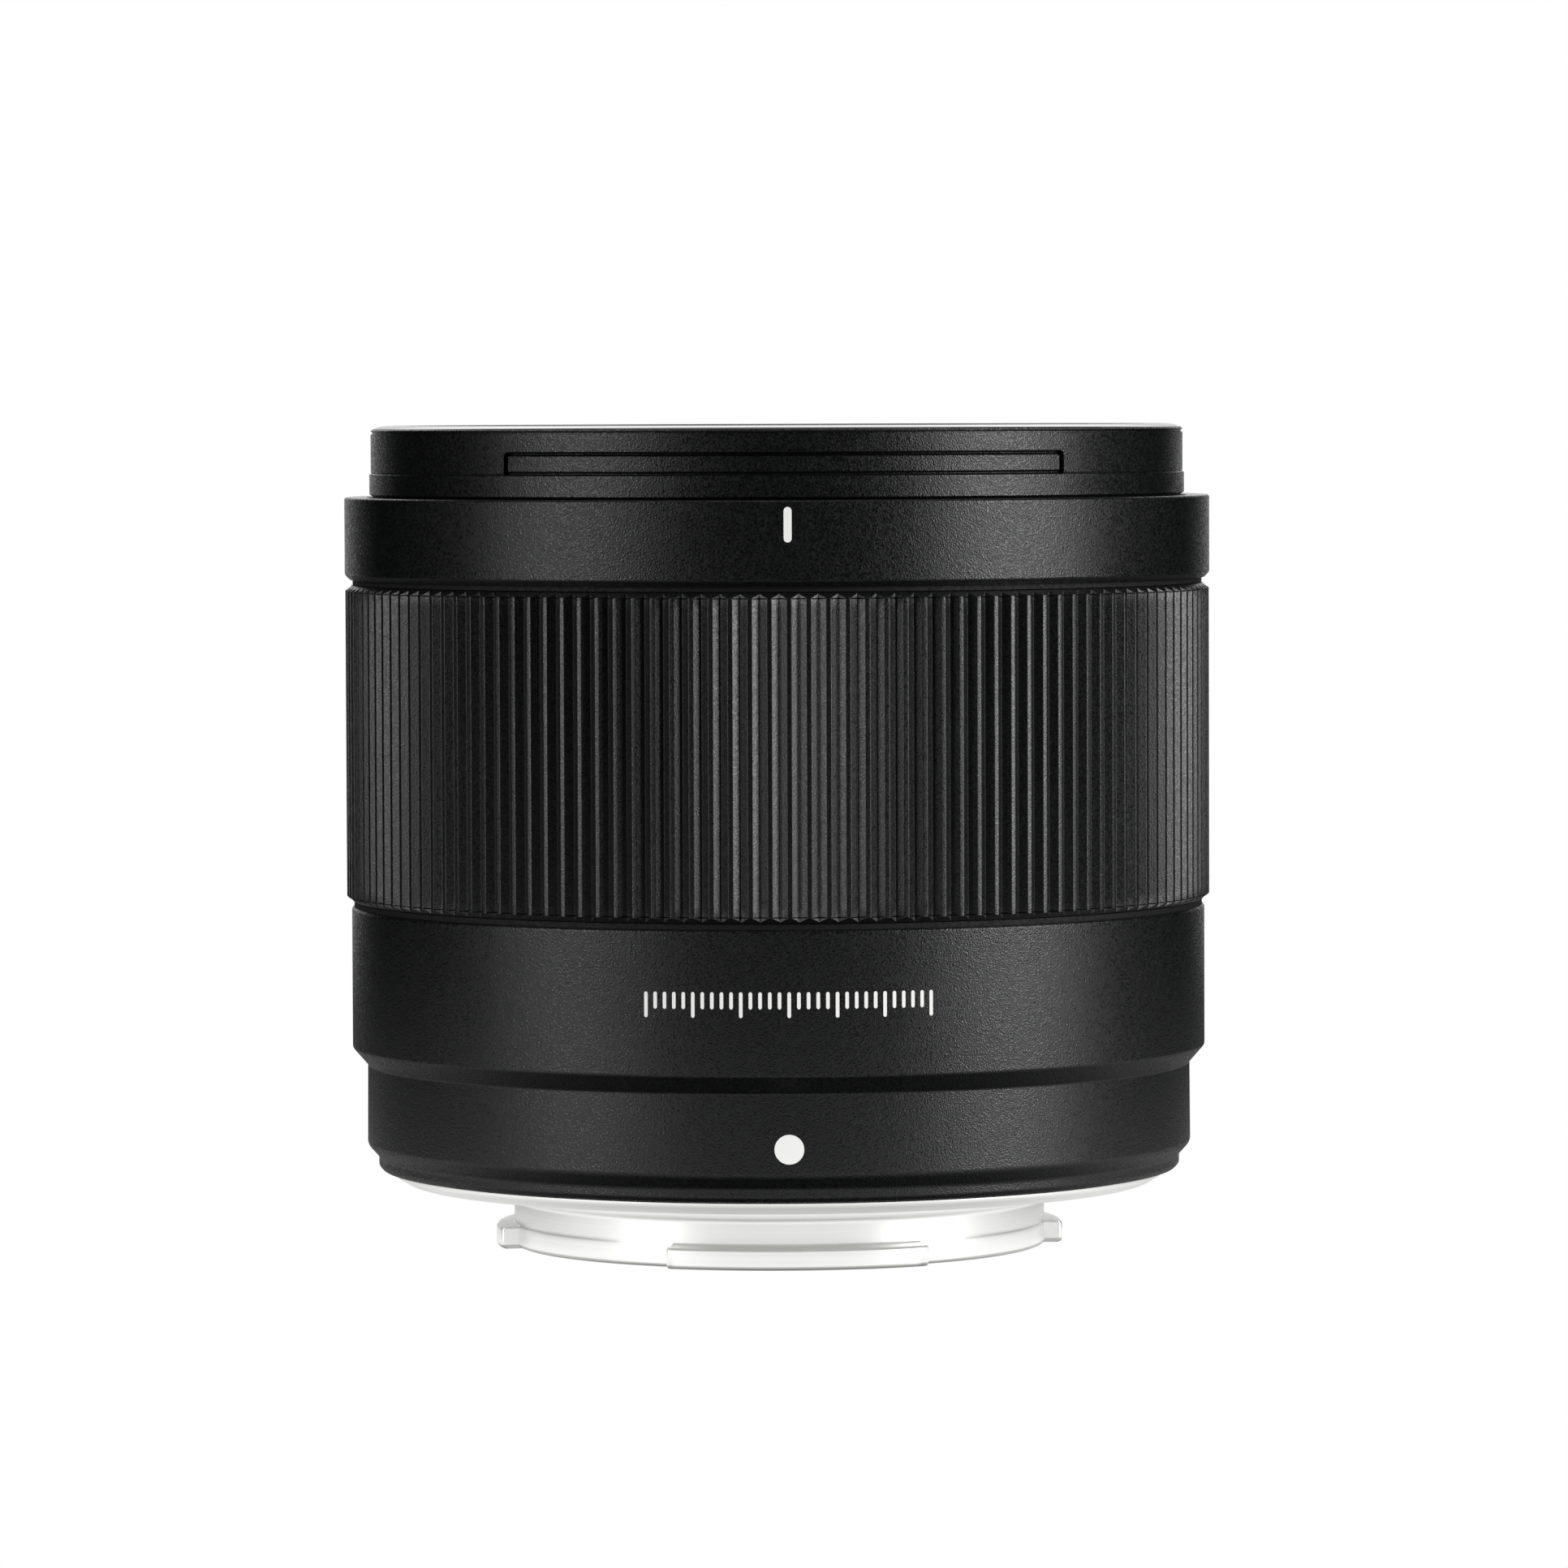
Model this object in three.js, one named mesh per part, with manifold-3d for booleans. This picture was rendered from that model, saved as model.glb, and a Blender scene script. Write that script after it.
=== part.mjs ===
// Autofocus prime lens, standing on its bayonet. Millimetres, +Z towards the front of the lens.
// The origin is on the optical axis, in the plane of the bayonet's rear end. The marks face -Y.
import * as THREE from 'three';
import { mergeVertices } from 'three/addons/utils/BufferGeometryUtils.js';
import Module from 'manifold-3d';

// Driving dimensions

const shellSides = 40;
const innerSides = 24;
const smallSides = 10;

const flangeZ = 4.8;
const flangeRadius = 28.9;
const barrelBottomZ = 5.82;
const barrelTopZ = 25.61;
const barrelRadius = 32.08;
const mountBarrelRadius = 30.95;
const gripBottomZ = 26.03;
const gripTopZ = 49.75;
const gripRadius = 32.45;
const sealRadius = 31.75;
const sealLip = 0.22;
const indexBottomZ = 50.15;
const indexTopZ = 56.32;
const indexRadius = 32.5;
const hoodSeatRadius = 30.6;
const hoodSeatTopZ = 58.09;
const rimRadius = 30.49;
const rimShoulderZ = 61.28;
const rimZ = 61.67;
const pocketTopZ = 59.75;
const pocketDepth = 0.3;
const pocketHalfAngle = 41.7;
const filterThreadRadius = 29;

const tubeRadius = 19.97;
const tubeBore = 18.2;
const tabRadius = 21.32;
const tabHeight = 1.6;
const mountScrewCircle = 25.2;

const innerBarrelRadius = 30.1;
const innerBarrelTopZ = 53.3;

const irisBaseZ = 30.4;
const bladeCount = 7;
const bladeThickness = 0.14;
const bladePitch = 0.28;
const bladePivotRadius = 16;
const bladeSwing = THREE.MathUtils.degToRad(34);
const bladeSpan = THREE.MathUtils.degToRad(104);
const bladeRootSpan = THREE.MathUtils.degToRad(5);
const cutClearance = 0.12;
const postRadius = 0.5;
const bladePinRadius = 0.4;
const leverLength = 3;
const leverStart = -Math.PI / 2 - bladeSwing / 2;
const driveRingZ = 34.1;
const gearModule = 0.4;
const driveGearTeeth = 108;
const pinionTeeth = 10;
const pinionAngle = THREE.MathUtils.degToRad(200);
const pinionCircle = gearModule * (driveGearTeeth + pinionTeeth) / 2 + 0.08;

const contactCount = 10;
const contactCircle = 16.4;
const contactStep = THREE.MathUtils.degToRad(5.4);
const contactStart = Math.PI / 2 - 5.5 * contactStep;
const contactEnd = Math.PI / 2 + 5.5 * contactStep;

const guideRodCircle = 23;
const guideRodAngles = [40, 220].map(THREE.MathUtils.degToRad);
const leadScrewCircle = 23;
const leadScrewAngle = THREE.MathUtils.degToRad(75);

// Materials

function material(color, roughness, metalness) {
  return new THREE.MeshStandardMaterial({ color, roughness, metalness });
}

function anodisedBlack() {
  return material(0x17181a, 0.45, 0.6);
}

function blackPlastic() {
  return material(0x121213, 0.55, 0);
}

function satinMetal() {
  return material(0xc9c9c6, 0.3, 1);
}

function steel() {
  return material(0x8e9093, 0.3, 1);
}

function brass() {
  return material(0xc2a15a, 0.3, 1);
}

function coatedGlass() {
  return new THREE.MeshStandardMaterial({
    color: 0x2c3a46, roughness: 0.05, metalness: 0, transparent: true, opacity: 0.4,
  });
}

// Geometry helpers

const lens = new THREE.Group();

function addMesh(name, geometry, look) {
  const mesh = new THREE.Mesh(geometry, look);
  mesh.name = name;
  lens.add(mesh);
}

// Turns [radius, z] points round +Z. An open profile starts and ends on the axis.
function turned(points, sides, closed = true) {
  const profile = points.map(([radius, z]) => new THREE.Vector2(radius, z));
  if (closed) {
    profile.push(profile[0].clone());
  }
  const area = THREE.ShapeUtils.area(profile);
  if (area < 0) {
    profile.reverse();
  }
  return new THREE.LatheGeometry(profile, sides).rotateX(Math.PI / 2);
}

function ring(innerRadius, outerRadius, bottom, top, sides) {
  return turned([
    [innerRadius, bottom], [outerRadius, bottom], [outerRadius, top], [innerRadius, top],
  ], sides);
}

function rod(radius, bottom, top, sides = smallSides) {
  return new THREE.CylinderGeometry(radius, radius, top - bottom, sides)
    .rotateX(Math.PI / 2)
    .translate(0, 0, (bottom + top) / 2);
}

function block(width, depth, bottom, top) {
  return new THREE.BoxGeometry(width, depth, top - bottom).translate(0, 0, (bottom + top) / 2);
}

function plate(shape, bottom, top) {
  const settings = { depth: top - bottom, bevelEnabled: false, curveSegments: innerSides };
  return new THREE.ExtrudeGeometry(shape, settings)
    .translate(0, 0, bottom);
}

// An angle of 0 is +X and counter-clockwise is positive, seen from the front of the lens.
function sectorShape(innerRadius, outerRadius, start, end, sides = shellSides) {
  const steps = Math.max(1, Math.round((end - start) * sides / (2 * Math.PI)));
  const outer = [];
  const inner = [];
  for (let i = 0; i <= steps; i += 1) {
    const angle = start + (end - start) * i / steps;
    outer.push(polar(outerRadius, angle));
    inner.unshift(polar(innerRadius, angle));
  }
  return new THREE.Shape([...outer, ...inner]);
}

function polar(radius, angle) {
  return new THREE.Vector2(radius * Math.cos(angle), radius * Math.sin(angle));
}

function atPolar(geometry, radius, angle) {
  return geometry.translate(radius, 0, 0).rotateZ(angle);
}

function toward(degreesFromMarks) {
  return THREE.MathUtils.degToRad(degreesFromMarks - 90);
}

const wasm = await Module();
wasm.setup();

function toSolid(geometry) {
  const bare = geometry.clone();
  bare.deleteAttribute('normal');
  bare.deleteAttribute('uv');
  const merged = mergeVertices(bare, 1e-4);
  return new wasm.Manifold(new wasm.Mesh({
    numProp: 3,
    vertProperties: new Float32Array(merged.attributes.position.array),
    triVerts: new Uint32Array(merged.index.array),
  }));
}

function toGeometry(solid) {
  const mesh = solid.getMesh();
  const geometry = new THREE.BufferGeometry();
  geometry.setAttribute('position', new THREE.BufferAttribute(mesh.vertProperties, 3));
  geometry.setIndex(new THREE.BufferAttribute(mesh.triVerts, 1));
  geometry.computeVertexNormals();
  return geometry;
}

function joined(base, additions) {
  return toGeometry(additions.reduce((solid, piece) => solid.add(toSolid(piece)), toSolid(base)));
}

function cut(base, tools) {
  return toGeometry(tools.reduce((solid, tool) => solid.subtract(toSolid(tool)), toSolid(base)));
}

function common(base, tool) {
  return toGeometry(toSolid(base).intersect(toSolid(tool)));
}

// Front barrel: hood bayonet outside, filter thread inside

function makeFilterRing() {
  const spigotRadius = 28.6;
  const body = turned([
    [26.6, 46], [spigotRadius, 46], [spigotRadius, 53.6], [hoodSeatRadius, 53.6],
    [hoodSeatRadius, hoodSeatTopZ - 0.11], [rimRadius, hoodSeatTopZ], [rimRadius, rimShoulderZ],
    [rimRadius - 0.12, rimShoulderZ + 0.16], [rimRadius - 0.6, rimZ], [filterThreadRadius + 0.2, rimZ],
    [filterThreadRadius, rimZ - 0.2],
    [filterThreadRadius, 53.4], [26.6, 53.4],
  ], shellSides);
  const pockets = [0, 180].map((centre) => {
    const start = toward(centre - pocketHalfAngle);
    const end = toward(centre + pocketHalfAngle);
    const pocket = sectorShape(rimRadius - pocketDepth, rimRadius + 1, start, end);
    return plate(pocket, hoodSeatTopZ, pocketTopZ);
  });
  addMesh('filter_ring', cut(body, pockets), anodisedBlack());
}

function makeFrontCoverRing() {
  addMesh('front_cover_ring', turned([
    [22.6, 53.75], [28.6, 53.75], [28.6, 57.2], [27.8, 57.2], [22.9, 55.2],
  ], shellSides), anodisedBlack());
}

function makeIndexRing() {
  addMesh('index_ring', turned([
    [30.8, indexBottomZ - sealLip], [sealRadius, indexBottomZ - sealLip], [sealRadius, indexBottomZ],
    [indexRadius - 0.4, indexBottomZ], [indexRadius, indexBottomZ + 0.4],
    [indexRadius, indexTopZ - 0.15], [indexRadius - 0.15, indexTopZ], [30.8, indexTopZ],
  ], shellSides), anodisedBlack());
}

// Focus ring with its encoder and slide strips

function makeFocusRing() {
  const bevel = 0.46;
  addMesh('focus_ring', turned([
    [30.65, gripBottomZ], [gripRadius - bevel, gripBottomZ], [gripRadius, gripBottomZ + bevel],
    [gripRadius, gripTopZ - bevel], [gripRadius - bevel, gripTopZ], [30.65, gripTopZ],
  ], shellSides), anodisedBlack());

  const combTopZ = 26.6;
  const combBottomZ = 21.6;
  const comb = turned([
    [29.5, combBottomZ], [30, combBottomZ], [30, 26.1], [30.45, 26.1], [30.45, combTopZ], [29.5, combTopZ],
  ], shellSides);
  const slotCount = shellSides / 2;
  const slots = [];
  for (let i = 0; i < slotCount; i += 1) {
    const angle = (i + 0.5) * 2 * Math.PI / slotCount;
    slots.push(atPolar(block(3, 4.2, combBottomZ - 1, combTopZ - 1.6), 29.75, angle));
  }
  addMesh('focus_encoder_comb', cut(comb, slots), blackPlastic());

  addMesh('focus_slide_ring_front', ring(30.2, 30.5, 45.5, 48, shellSides), material(0xe8e6df, 0.6, 0));
  addMesh('focus_slide_ring_rear', ring(30.2, 30.5, 28.5, 31, shellSides), material(0xe8e6df, 0.6, 0));
}

// Fixed barrels

function makeInnerBarrel() {
  addMesh('inner_barrel', turned([
    [27.2, 14], [28.4, 14], [28.4, 27.3], [innerBarrelRadius, 27.3], [innerBarrelRadius, innerBarrelTopZ],
    [28.9, innerBarrelTopZ], [28.9, 28.5], [27.2, 28.5],
  ], shellSides), blackPlastic());
}

function makeRearBarrel() {
  addMesh('rear_barrel', turned([
    [28.75, barrelBottomZ], [29.8, barrelBottomZ], [30.15, 6.15], [30.15, 6.84], [30.99, 7.75],
    [mountBarrelRadius, 13.76], [barrelRadius, 15.05], [barrelRadius, barrelTopZ - 0.15],
    [barrelRadius - 0.15, barrelTopZ], [sealRadius, barrelTopZ], [sealRadius, barrelTopZ + sealLip],
    [31, barrelTopZ + sealLip], [31, 15.4], [29, 13.6], [29, 8.3],
    [28.75, 8.3],
  ], shellSides), anodisedBlack());
}

// Bayonet mount

function makeBayonetMount() {
  const body = turned([
    [tubeBore, 0], [20.1, 0], [20.1, 1.65], [tubeRadius, 1.65], [tubeRadius, 3.7], [21.4, 3.8],
    [21.4, flangeZ],
    [28, flangeZ], [28.6, 5.2], [flangeRadius, 5.45], [flangeRadius, 5.72], [28.4, 5.72],
    [28.4, 7.6], [tubeBore, 7.6],
  ], shellSides);
  const tabRing = turned([
    [19.4, 0], [tabRadius, 0], [tabRadius, tabHeight - 0.1], [19.4, tabHeight + 0.12],
  ], shellSides);
  const tabSpans = [[-24.4, 29.8], [86, 146], [-140, -79]];
  const tabs = tabSpans.map(([start, end]) => common(
    tabRing,
    plate(sectorShape(17, 24, toward(start), toward(end)), -1, 3),
  ));
  const solid = tabs.reduce((whole, tab) => whole.add(toSolid(tab)), toSolid(body));
  const screwHole = turned([
    [0, flangeZ - 1], [2.3, flangeZ - 1], [2.3, flangeZ + 0.15], [1.2, flangeZ + 1.25], [1.2, 9], [0, 9],
  ], smallSides, false);
  const drilled = mountScrewAngles().reduce(
    (whole, angle) => whole.subtract(toSolid(atPolar(screwHole.clone(), mountScrewCircle, angle))),
    solid,
  );
  addMesh('bayonet_mount', toGeometry(drilled), satinMetal());
}

function mountScrewAngles() {
  return [45, 135, 225, 315].map(THREE.MathUtils.degToRad);
}

function makeMountScrews() {
  const screw = turned([
    [0, flangeZ + 0.1], [1.9, flangeZ + 0.1], [1.9, flangeZ + 0.25], [0.9, flangeZ + 1.3],
    [0.9, 10.2], [0, 10.2],
  ], smallSides, false);
  mountScrewAngles().forEach((angle, index) => {
    addMesh(`mount_screw_${index + 1}`, atPolar(screw.clone(), mountScrewCircle, angle), steel());
  });
}

function makeRearBaffle() {
  const disc = new THREE.Shape().absarc(0, 0, 17.9, 0, 2 * Math.PI, false);
  const halfWidth = 12.4;
  const halfHeight = 8.6;
  const window = new THREE.Path();
  window.moveTo(-halfWidth, -halfHeight);
  window.lineTo(-halfWidth, halfHeight);
  window.lineTo(halfWidth, halfHeight);
  window.lineTo(halfWidth, -halfHeight);
  window.closePath();
  disc.holes.push(window);
  const seat = plate(sectorShape(14.6, 20, contactStart - 0.03, contactEnd + 0.03), 0, 4);
  addMesh('rear_baffle', cut(plate(disc, 0.7, 1.7), [seat]), blackPlastic());
}

// Contacts opposite the marks, on the side that faces the bottom of the camera

function makeContacts() {
  const padRadius = 0.55;
  const carrier = plate(sectorShape(14.8, 17.9, contactStart, contactEnd), 0.6, 3.6);
  const slotEnd = 0.4 * contactStep;
  const slot = plate(sectorShape(15.6, 17.2, contactStart + slotEnd, contactEnd - slotEnd), 0, 4);
  for (let i = 0; i < contactCount; i += 1) {
    const angle = Math.PI / 2 + (i - (contactCount - 1) / 2) * contactStep;
    const number = String(i + 1).padStart(2, '0');
    addMesh(`contact_pin_${number}`, atPolar(rod(padRadius, 0.35, 4.1, 8), contactCircle, angle), brass());
  }
  addMesh('contact_block', cut(carrier, [slot]), blackPlastic());
}

// Optics. Each element is given by the z of its front and rear vertex and the sag of each face
// towards the rear (front face) and towards the front (rear face) at its rim.

function makeElement(name, radius, front, frontSag, rear, rearSag, rings) {
  const points = [];
  for (let i = 0; i <= rings; i += 1) {
    const share = i / rings;
    points.push([radius * share, rear + rearSag * share * share]);
  }
  for (let i = rings; i >= 0; i -= 1) {
    const share = i / rings;
    points.push([radius * share, front - frontSag * share * share]);
  }
  addMesh(name, turned(points, innerSides, false), coatedGlass());
}

function makeOptics() {
  makeElement('lens_1', 22.3, 55.6, 3.4, 51.4, -2.2, 3);
  makeElement('lens_2', 19.4, 50.4, 2.9, 46.2, -0.7, 2);
  makeElement('lens_3', 17.4, 44.9, 0.5, 43, -3, 2);
  makeElement('lens_4', 15, 41.8, 2.4, 38.4, 0.4, 2);
  makeElement('lens_5', 11.4, 28, 2.2, 24.9, 0.6, 2);
  makeElement('lens_6', 11.4, 24.6, -0.6, 22.8, -1.4, 2);
  makeElement('lens_7', 12.2, 17.1, 1.6, 13.6, 0.5, 2);
  makeElement('lens_8', 13, 12.2, -0.4, 9.8, -1.2, 2);
  makeElement('lens_9', 13.6, 7.4, 1.1, 3.6, 0.6, 2);
}

function makeFrontCell() {
  addMesh('front_cell', turned([
    [13.6, 37.2], [27.9, 37.2], [27.9, 38.2], [25.8, 38.2], [25.8, 53.2], [22.6, 53.2], [22.6, 48.3],
    [19.7, 48.3], [19.7, 44.95], [17.7, 44.95], [17.7, 39.1], [15.3, 39.1], [15.3, 38], [13.6, 38],
  ], innerSides), blackPlastic());
  addMesh('front_lens_retainer', ring(20.6, 22.3, 52.7, 53.3, innerSides), blackPlastic());
  addMesh('lens_spacer', ring(19.9, 22.3, 48.5, 48.9, innerSides), blackPlastic());
}

function makeRearCell() {
  const guideHoles = guideRodAngles.map((angle) => atPolar(rod(1.3, 11, 15), guideRodCircle, angle));
  const body = turned([
    [12.4, 2.6], [14.5, 2.6], [14.5, 4.9], [17.2, 4.9], [17.2, 12.4], [26.9, 12.4], [26.9, 13.4],
    [16.8, 13.4], [16.8, 17.8], [12.5, 17.8],
    [12.5, 13.3], [13.3, 13.3], [13.3, 8.3], [13.9, 8.3], [13.9, 3.3], [12.4, 3.3],
  ], innerSides);
  addMesh('rear_cell', cut(body, guideHoles), blackPlastic());
}

// Iris: seven blades between a base with pivot posts and a drive ring with cam slots

function bladeAngle(index) {
  return index * 2 * Math.PI / bladeCount;
}

function bladePinAt(swing) {
  const pivot = new THREE.Vector2(bladePivotRadius, 0);
  return polar(leverLength, leverStart + swing).add(pivot);
}

function makeBlade(index) {
  const bottom = irisBaseZ + 1.3 + index * bladePitch;
  const top = bottom + bladeThickness;
  const crescent = plate(sectorShape(10.6, 14.5, 0, bladeSpan, innerSides), bottom, top);
  const root = plate(sectorShape(13.2, 16.9, -bladeRootSpan, bladeRootSpan), bottom, top);
  const pin = bladePinAt(0);
  const leverMiddle = polar(leverLength / 2, leverStart).add(new THREE.Vector2(bladePivotRadius, 0));
  const lever = block(leverLength + 1, 1.4, bottom, top)
    .rotateZ(leverStart)
    .translate(leverMiddle.x, leverMiddle.y, 0);
  const drivePin = rod(bladePinRadius, bottom, driveRingZ + 0.7, 8).translate(pin.x, pin.y, 0);
  const holeRadius = postRadius + cutClearance;
  const pivotHole = rod(holeRadius, bottom - 1, top + 1, 8).translate(bladePivotRadius, 0, 0);
  const blade = joined(crescent, [root, lever, drivePin]);
  const placed = cut(blade, [pivotHole]).rotateZ(bladeAngle(index));
  addMesh(`iris_blade_${index + 1}`, placed, material(0x1b1c1e, 0.4, 0.5));
}

// The cam slot is the path of the blade's pin as seen from the drive ring, which turns with the blade.
function camSlot() {
  const steps = 6;
  const halfWidth = bladePinRadius + cutClearance;
  const outer = [];
  const inner = [];
  const centre = new THREE.Vector2();
  for (let i = -1; i <= steps + 1; i += 1) {
    const swing = bladeSwing * i / steps;
    const point = bladePinAt(swing).rotateAround(centre, -swing);
    const next = bladePinAt(swing + 0.01).rotateAround(centre, -swing - 0.01);
    const side = next.sub(point).normalize().rotateAround(centre, Math.PI / 2).multiplyScalar(halfWidth);
    outer.push(point.clone().add(side));
    inner.unshift(point.clone().sub(side));
  }
  return new THREE.Shape([...outer, ...inner]);
}

// Outline of a gear with straight-sided teeth, over the teeth from first to last.
function toothPoints(teeth, first, last) {
  const pitchRadius = gearModule * teeth / 2;
  const pitch = 2 * Math.PI / teeth;
  const flanks = [[-0.5, -1.15], [-0.32, -1.15], [-0.11, 0.9], [0.11, 0.9], [0.32, -1.15]];
  const points = [];
  for (let tooth = first; tooth <= last; tooth += 1) {
    flanks.forEach(([along, up]) => {
      points.push(polar(pitchRadius + up * gearModule, (tooth + along) * pitch));
    });
  }
  return points;
}

function makeDriveRing() {
  const outerRadius = 18.6;
  const body = ring(13.6, outerRadius, driveRingZ, driveRingZ + 0.8, innerSides);
  const teeth = toothPoints(driveGearTeeth, -12, 2);
  const sectorInnerRadius = 17.9;
  const rootStart = Math.atan2(teeth[0].y, teeth[0].x);
  const rootEnd = Math.atan2(teeth[teeth.length - 1].y, teeth[teeth.length - 1].x);
  const sector = new THREE.Shape([
    ...teeth, polar(sectorInnerRadius, rootEnd), polar(sectorInnerRadius, rootStart),
  ]);
  const gear = plate(sector, driveRingZ, driveRingZ + 0.8).rotateZ(pinionAngle);
  const slots = [];
  for (let i = 0; i < bladeCount; i += 1) {
    slots.push(plate(camSlot(), driveRingZ - 1, driveRingZ + 2).rotateZ(bladeAngle(i)));
  }
  const whole = joined(body, [gear]);
  addMesh('iris_drive_ring', cut(whole, slots), blackPlastic());
}

function makeIris() {
  const posts = [];
  for (let i = 0; i < bladeCount; i += 1) {
    const post = rod(postRadius, irisBaseZ + 0.5, driveRingZ - 0.15, 8);
    posts.push(atPolar(post, bladePivotRadius, bladeAngle(i)));
  }
  const base = turned([
    [10.7, irisBaseZ], [27.9, irisBaseZ], [27.9, 35], [27.2, 35], [27.2, irisBaseZ + 1],
    [10.7, irisBaseZ + 1],
  ], innerSides);
  const motorHole = atPolar(rod(3, irisBaseZ - 1, irisBaseZ + 2, 12), pinionCircle, pinionAngle);
  const rodHoles = guideRodAngles.map((angle) => {
    const hole = rod(1.3, irisBaseZ - 1, irisBaseZ + 2);
    return atPolar(hole, guideRodCircle, angle);
  });
  addMesh('iris_base', cut(joined(base, posts), [motorHole, ...rodHoles]), blackPlastic());
  addMesh('iris_cover', ring(12.9, 27.9, 35.3, 36.1, innerSides), blackPlastic());
  for (let i = 0; i < bladeCount; i += 1) {
    makeBlade(i);
  }
  makeDriveRing();

  const pinionOutline = new THREE.Shape(toothPoints(pinionTeeth, 0, pinionTeeth - 1));
  const meshTurn = Math.PI + Math.PI / pinionTeeth;
  const pinion = plate(pinionOutline, driveRingZ - 0.4, driveRingZ + 1).rotateZ(meshTurn);
  const shaft = rod(0.5, 29.3, driveRingZ, 8);
  addMesh('iris_pinion', atPolar(joined(pinion, [shaft]), pinionCircle, pinionAngle), brass());
  addMesh('iris_motor', atPolar(rod(2.7, 22.5, 29), pinionCircle, pinionAngle), steel());
}

// Focus group: a carriage on two rods, moved by a lead screw

function makeFocusGroup() {
  const rodBottom = 12.9;
  const rodTop = irisBaseZ + 0.7;
  const tube = turned([
    [10.6, 20.4], [13.4, 20.4], [13.4, 28.9], [11.7, 28.9], [11.7, 21.3], [10.6, 21.3],
  ], innerSides);
  const armLength = 13;
  const arm = (angle, width) => block(armLength, width, 23.4, 25.4)
    .translate(12.2 + armLength / 2, 0, 0)
    .rotateZ(angle);
  const guides = guideRodAngles.map((angle) => arm(angle, 4));
  const screwArm = arm(leadScrewAngle, 5.4);
  const guideHoles = guideRodAngles.map((angle) => atPolar(rod(1.1, 20, 30), guideRodCircle, angle));
  const nutHole = atPolar(rod(1.9, 20, 30), leadScrewCircle, leadScrewAngle);
  const body = joined(tube, [...guides, screwArm]);
  addMesh('focus_carriage', cut(body, [...guideHoles, nutHole]), blackPlastic());

  guideRodAngles.forEach((angle, index) => {
    const guide = rod(0.95, rodBottom, rodTop);
    addMesh(`guide_rod_${index + 1}`, atPolar(guide, guideRodCircle, angle), steel());
  });
  const atScrew = (geometry) => atPolar(geometry, leadScrewCircle, leadScrewAngle);
  addMesh('focus_nut', atScrew(ring(1.05, 1.7, 23, 25.8, smallSides)), brass());
  addMesh('lead_screw', atScrew(rod(0.85, 19.4, 29.8)), steel());
  addMesh('focus_motor', atScrew(rod(3.2, 13.8, 19)), steel());
}

// Electronics

function makeElectronics() {
  const boardStart = THREE.MathUtils.degToRad(100);
  const boardEnd = THREE.MathUtils.degToRad(350);
  const board = plate(sectorShape(18.2, 26.6, boardStart, boardEnd), 10.7, 11.6);
  addMesh('main_board', board, material(0x14502f, 0.5, 0));
  const sensorArms = joined(block(2, 5, 19.4, 20.8), [
    block(0.5, 5, 19.4, 23.6).translate(-0.75, 0, 0),
    block(0.5, 5, 19.4, 23.6).translate(0.75, 0, 0),
  ]);
  addMesh('focus_sensor', atPolar(sensorArms, 29.72, THREE.MathUtils.degToRad(150)), blackPlastic());
  const flex = plate(sectorShape(17.5, 17.75, Math.PI / 2 - 0.3, Math.PI / 2 + 0.3), 4.4, 10.4);
  addMesh('flex_cable', flex, material(0x8a4b16, 0.5, 0));
}

makeFilterRing();
makeFrontCoverRing();
makeIndexRing();
makeFocusRing();
makeInnerBarrel();
makeRearBarrel();
makeBayonetMount();
makeMountScrews();
makeRearBaffle();
makeContacts();
makeOptics();
makeFrontCell();
makeRearCell();
makeIris();
makeFocusGroup();
makeElectronics();

export default lens;
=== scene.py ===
import math

import bmesh
import bpy
from mathutils import Matrix, Vector


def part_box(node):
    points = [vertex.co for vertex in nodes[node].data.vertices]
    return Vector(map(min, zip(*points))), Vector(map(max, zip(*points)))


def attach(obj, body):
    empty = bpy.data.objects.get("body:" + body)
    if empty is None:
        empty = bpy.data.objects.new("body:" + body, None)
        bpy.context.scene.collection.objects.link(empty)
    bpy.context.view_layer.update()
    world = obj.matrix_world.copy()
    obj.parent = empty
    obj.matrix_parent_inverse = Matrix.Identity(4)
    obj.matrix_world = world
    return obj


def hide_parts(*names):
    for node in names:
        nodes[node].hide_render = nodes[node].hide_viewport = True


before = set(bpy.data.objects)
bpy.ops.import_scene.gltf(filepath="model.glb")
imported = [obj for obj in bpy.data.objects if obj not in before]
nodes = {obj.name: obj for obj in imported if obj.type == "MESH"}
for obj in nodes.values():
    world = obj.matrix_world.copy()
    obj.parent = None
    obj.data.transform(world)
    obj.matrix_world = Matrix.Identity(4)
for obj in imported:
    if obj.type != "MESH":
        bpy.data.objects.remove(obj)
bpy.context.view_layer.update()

mm = 0.001
turn = 2 * math.pi
marksAngle = -math.pi / 2  # the white marks face -Y


def span(node):
    # outer radius, bottom and top of a ring-shaped node, in mm
    low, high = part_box(node)
    return high.x / mm, low.z / mm, high.z / mm


def heights(node):
    return span(node)[1:]


def middle(node):
    low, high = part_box(node)
    return (low + high) / 2


def placed(name, data):
    thing = bpy.data.objects.new(name, data)
    bpy.context.scene.collection.objects.link(thing)
    return thing


# Camera

view = {
    "axisDistance": 618.1,
    "height": 62.85,
    "sideShift": 0.469,
    "azimuth": -1.4,
    "pitch": 2.617,
    "roll": -0.212,
    "focalLength": 188.57,
    "sensor": 36.0,
}


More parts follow.
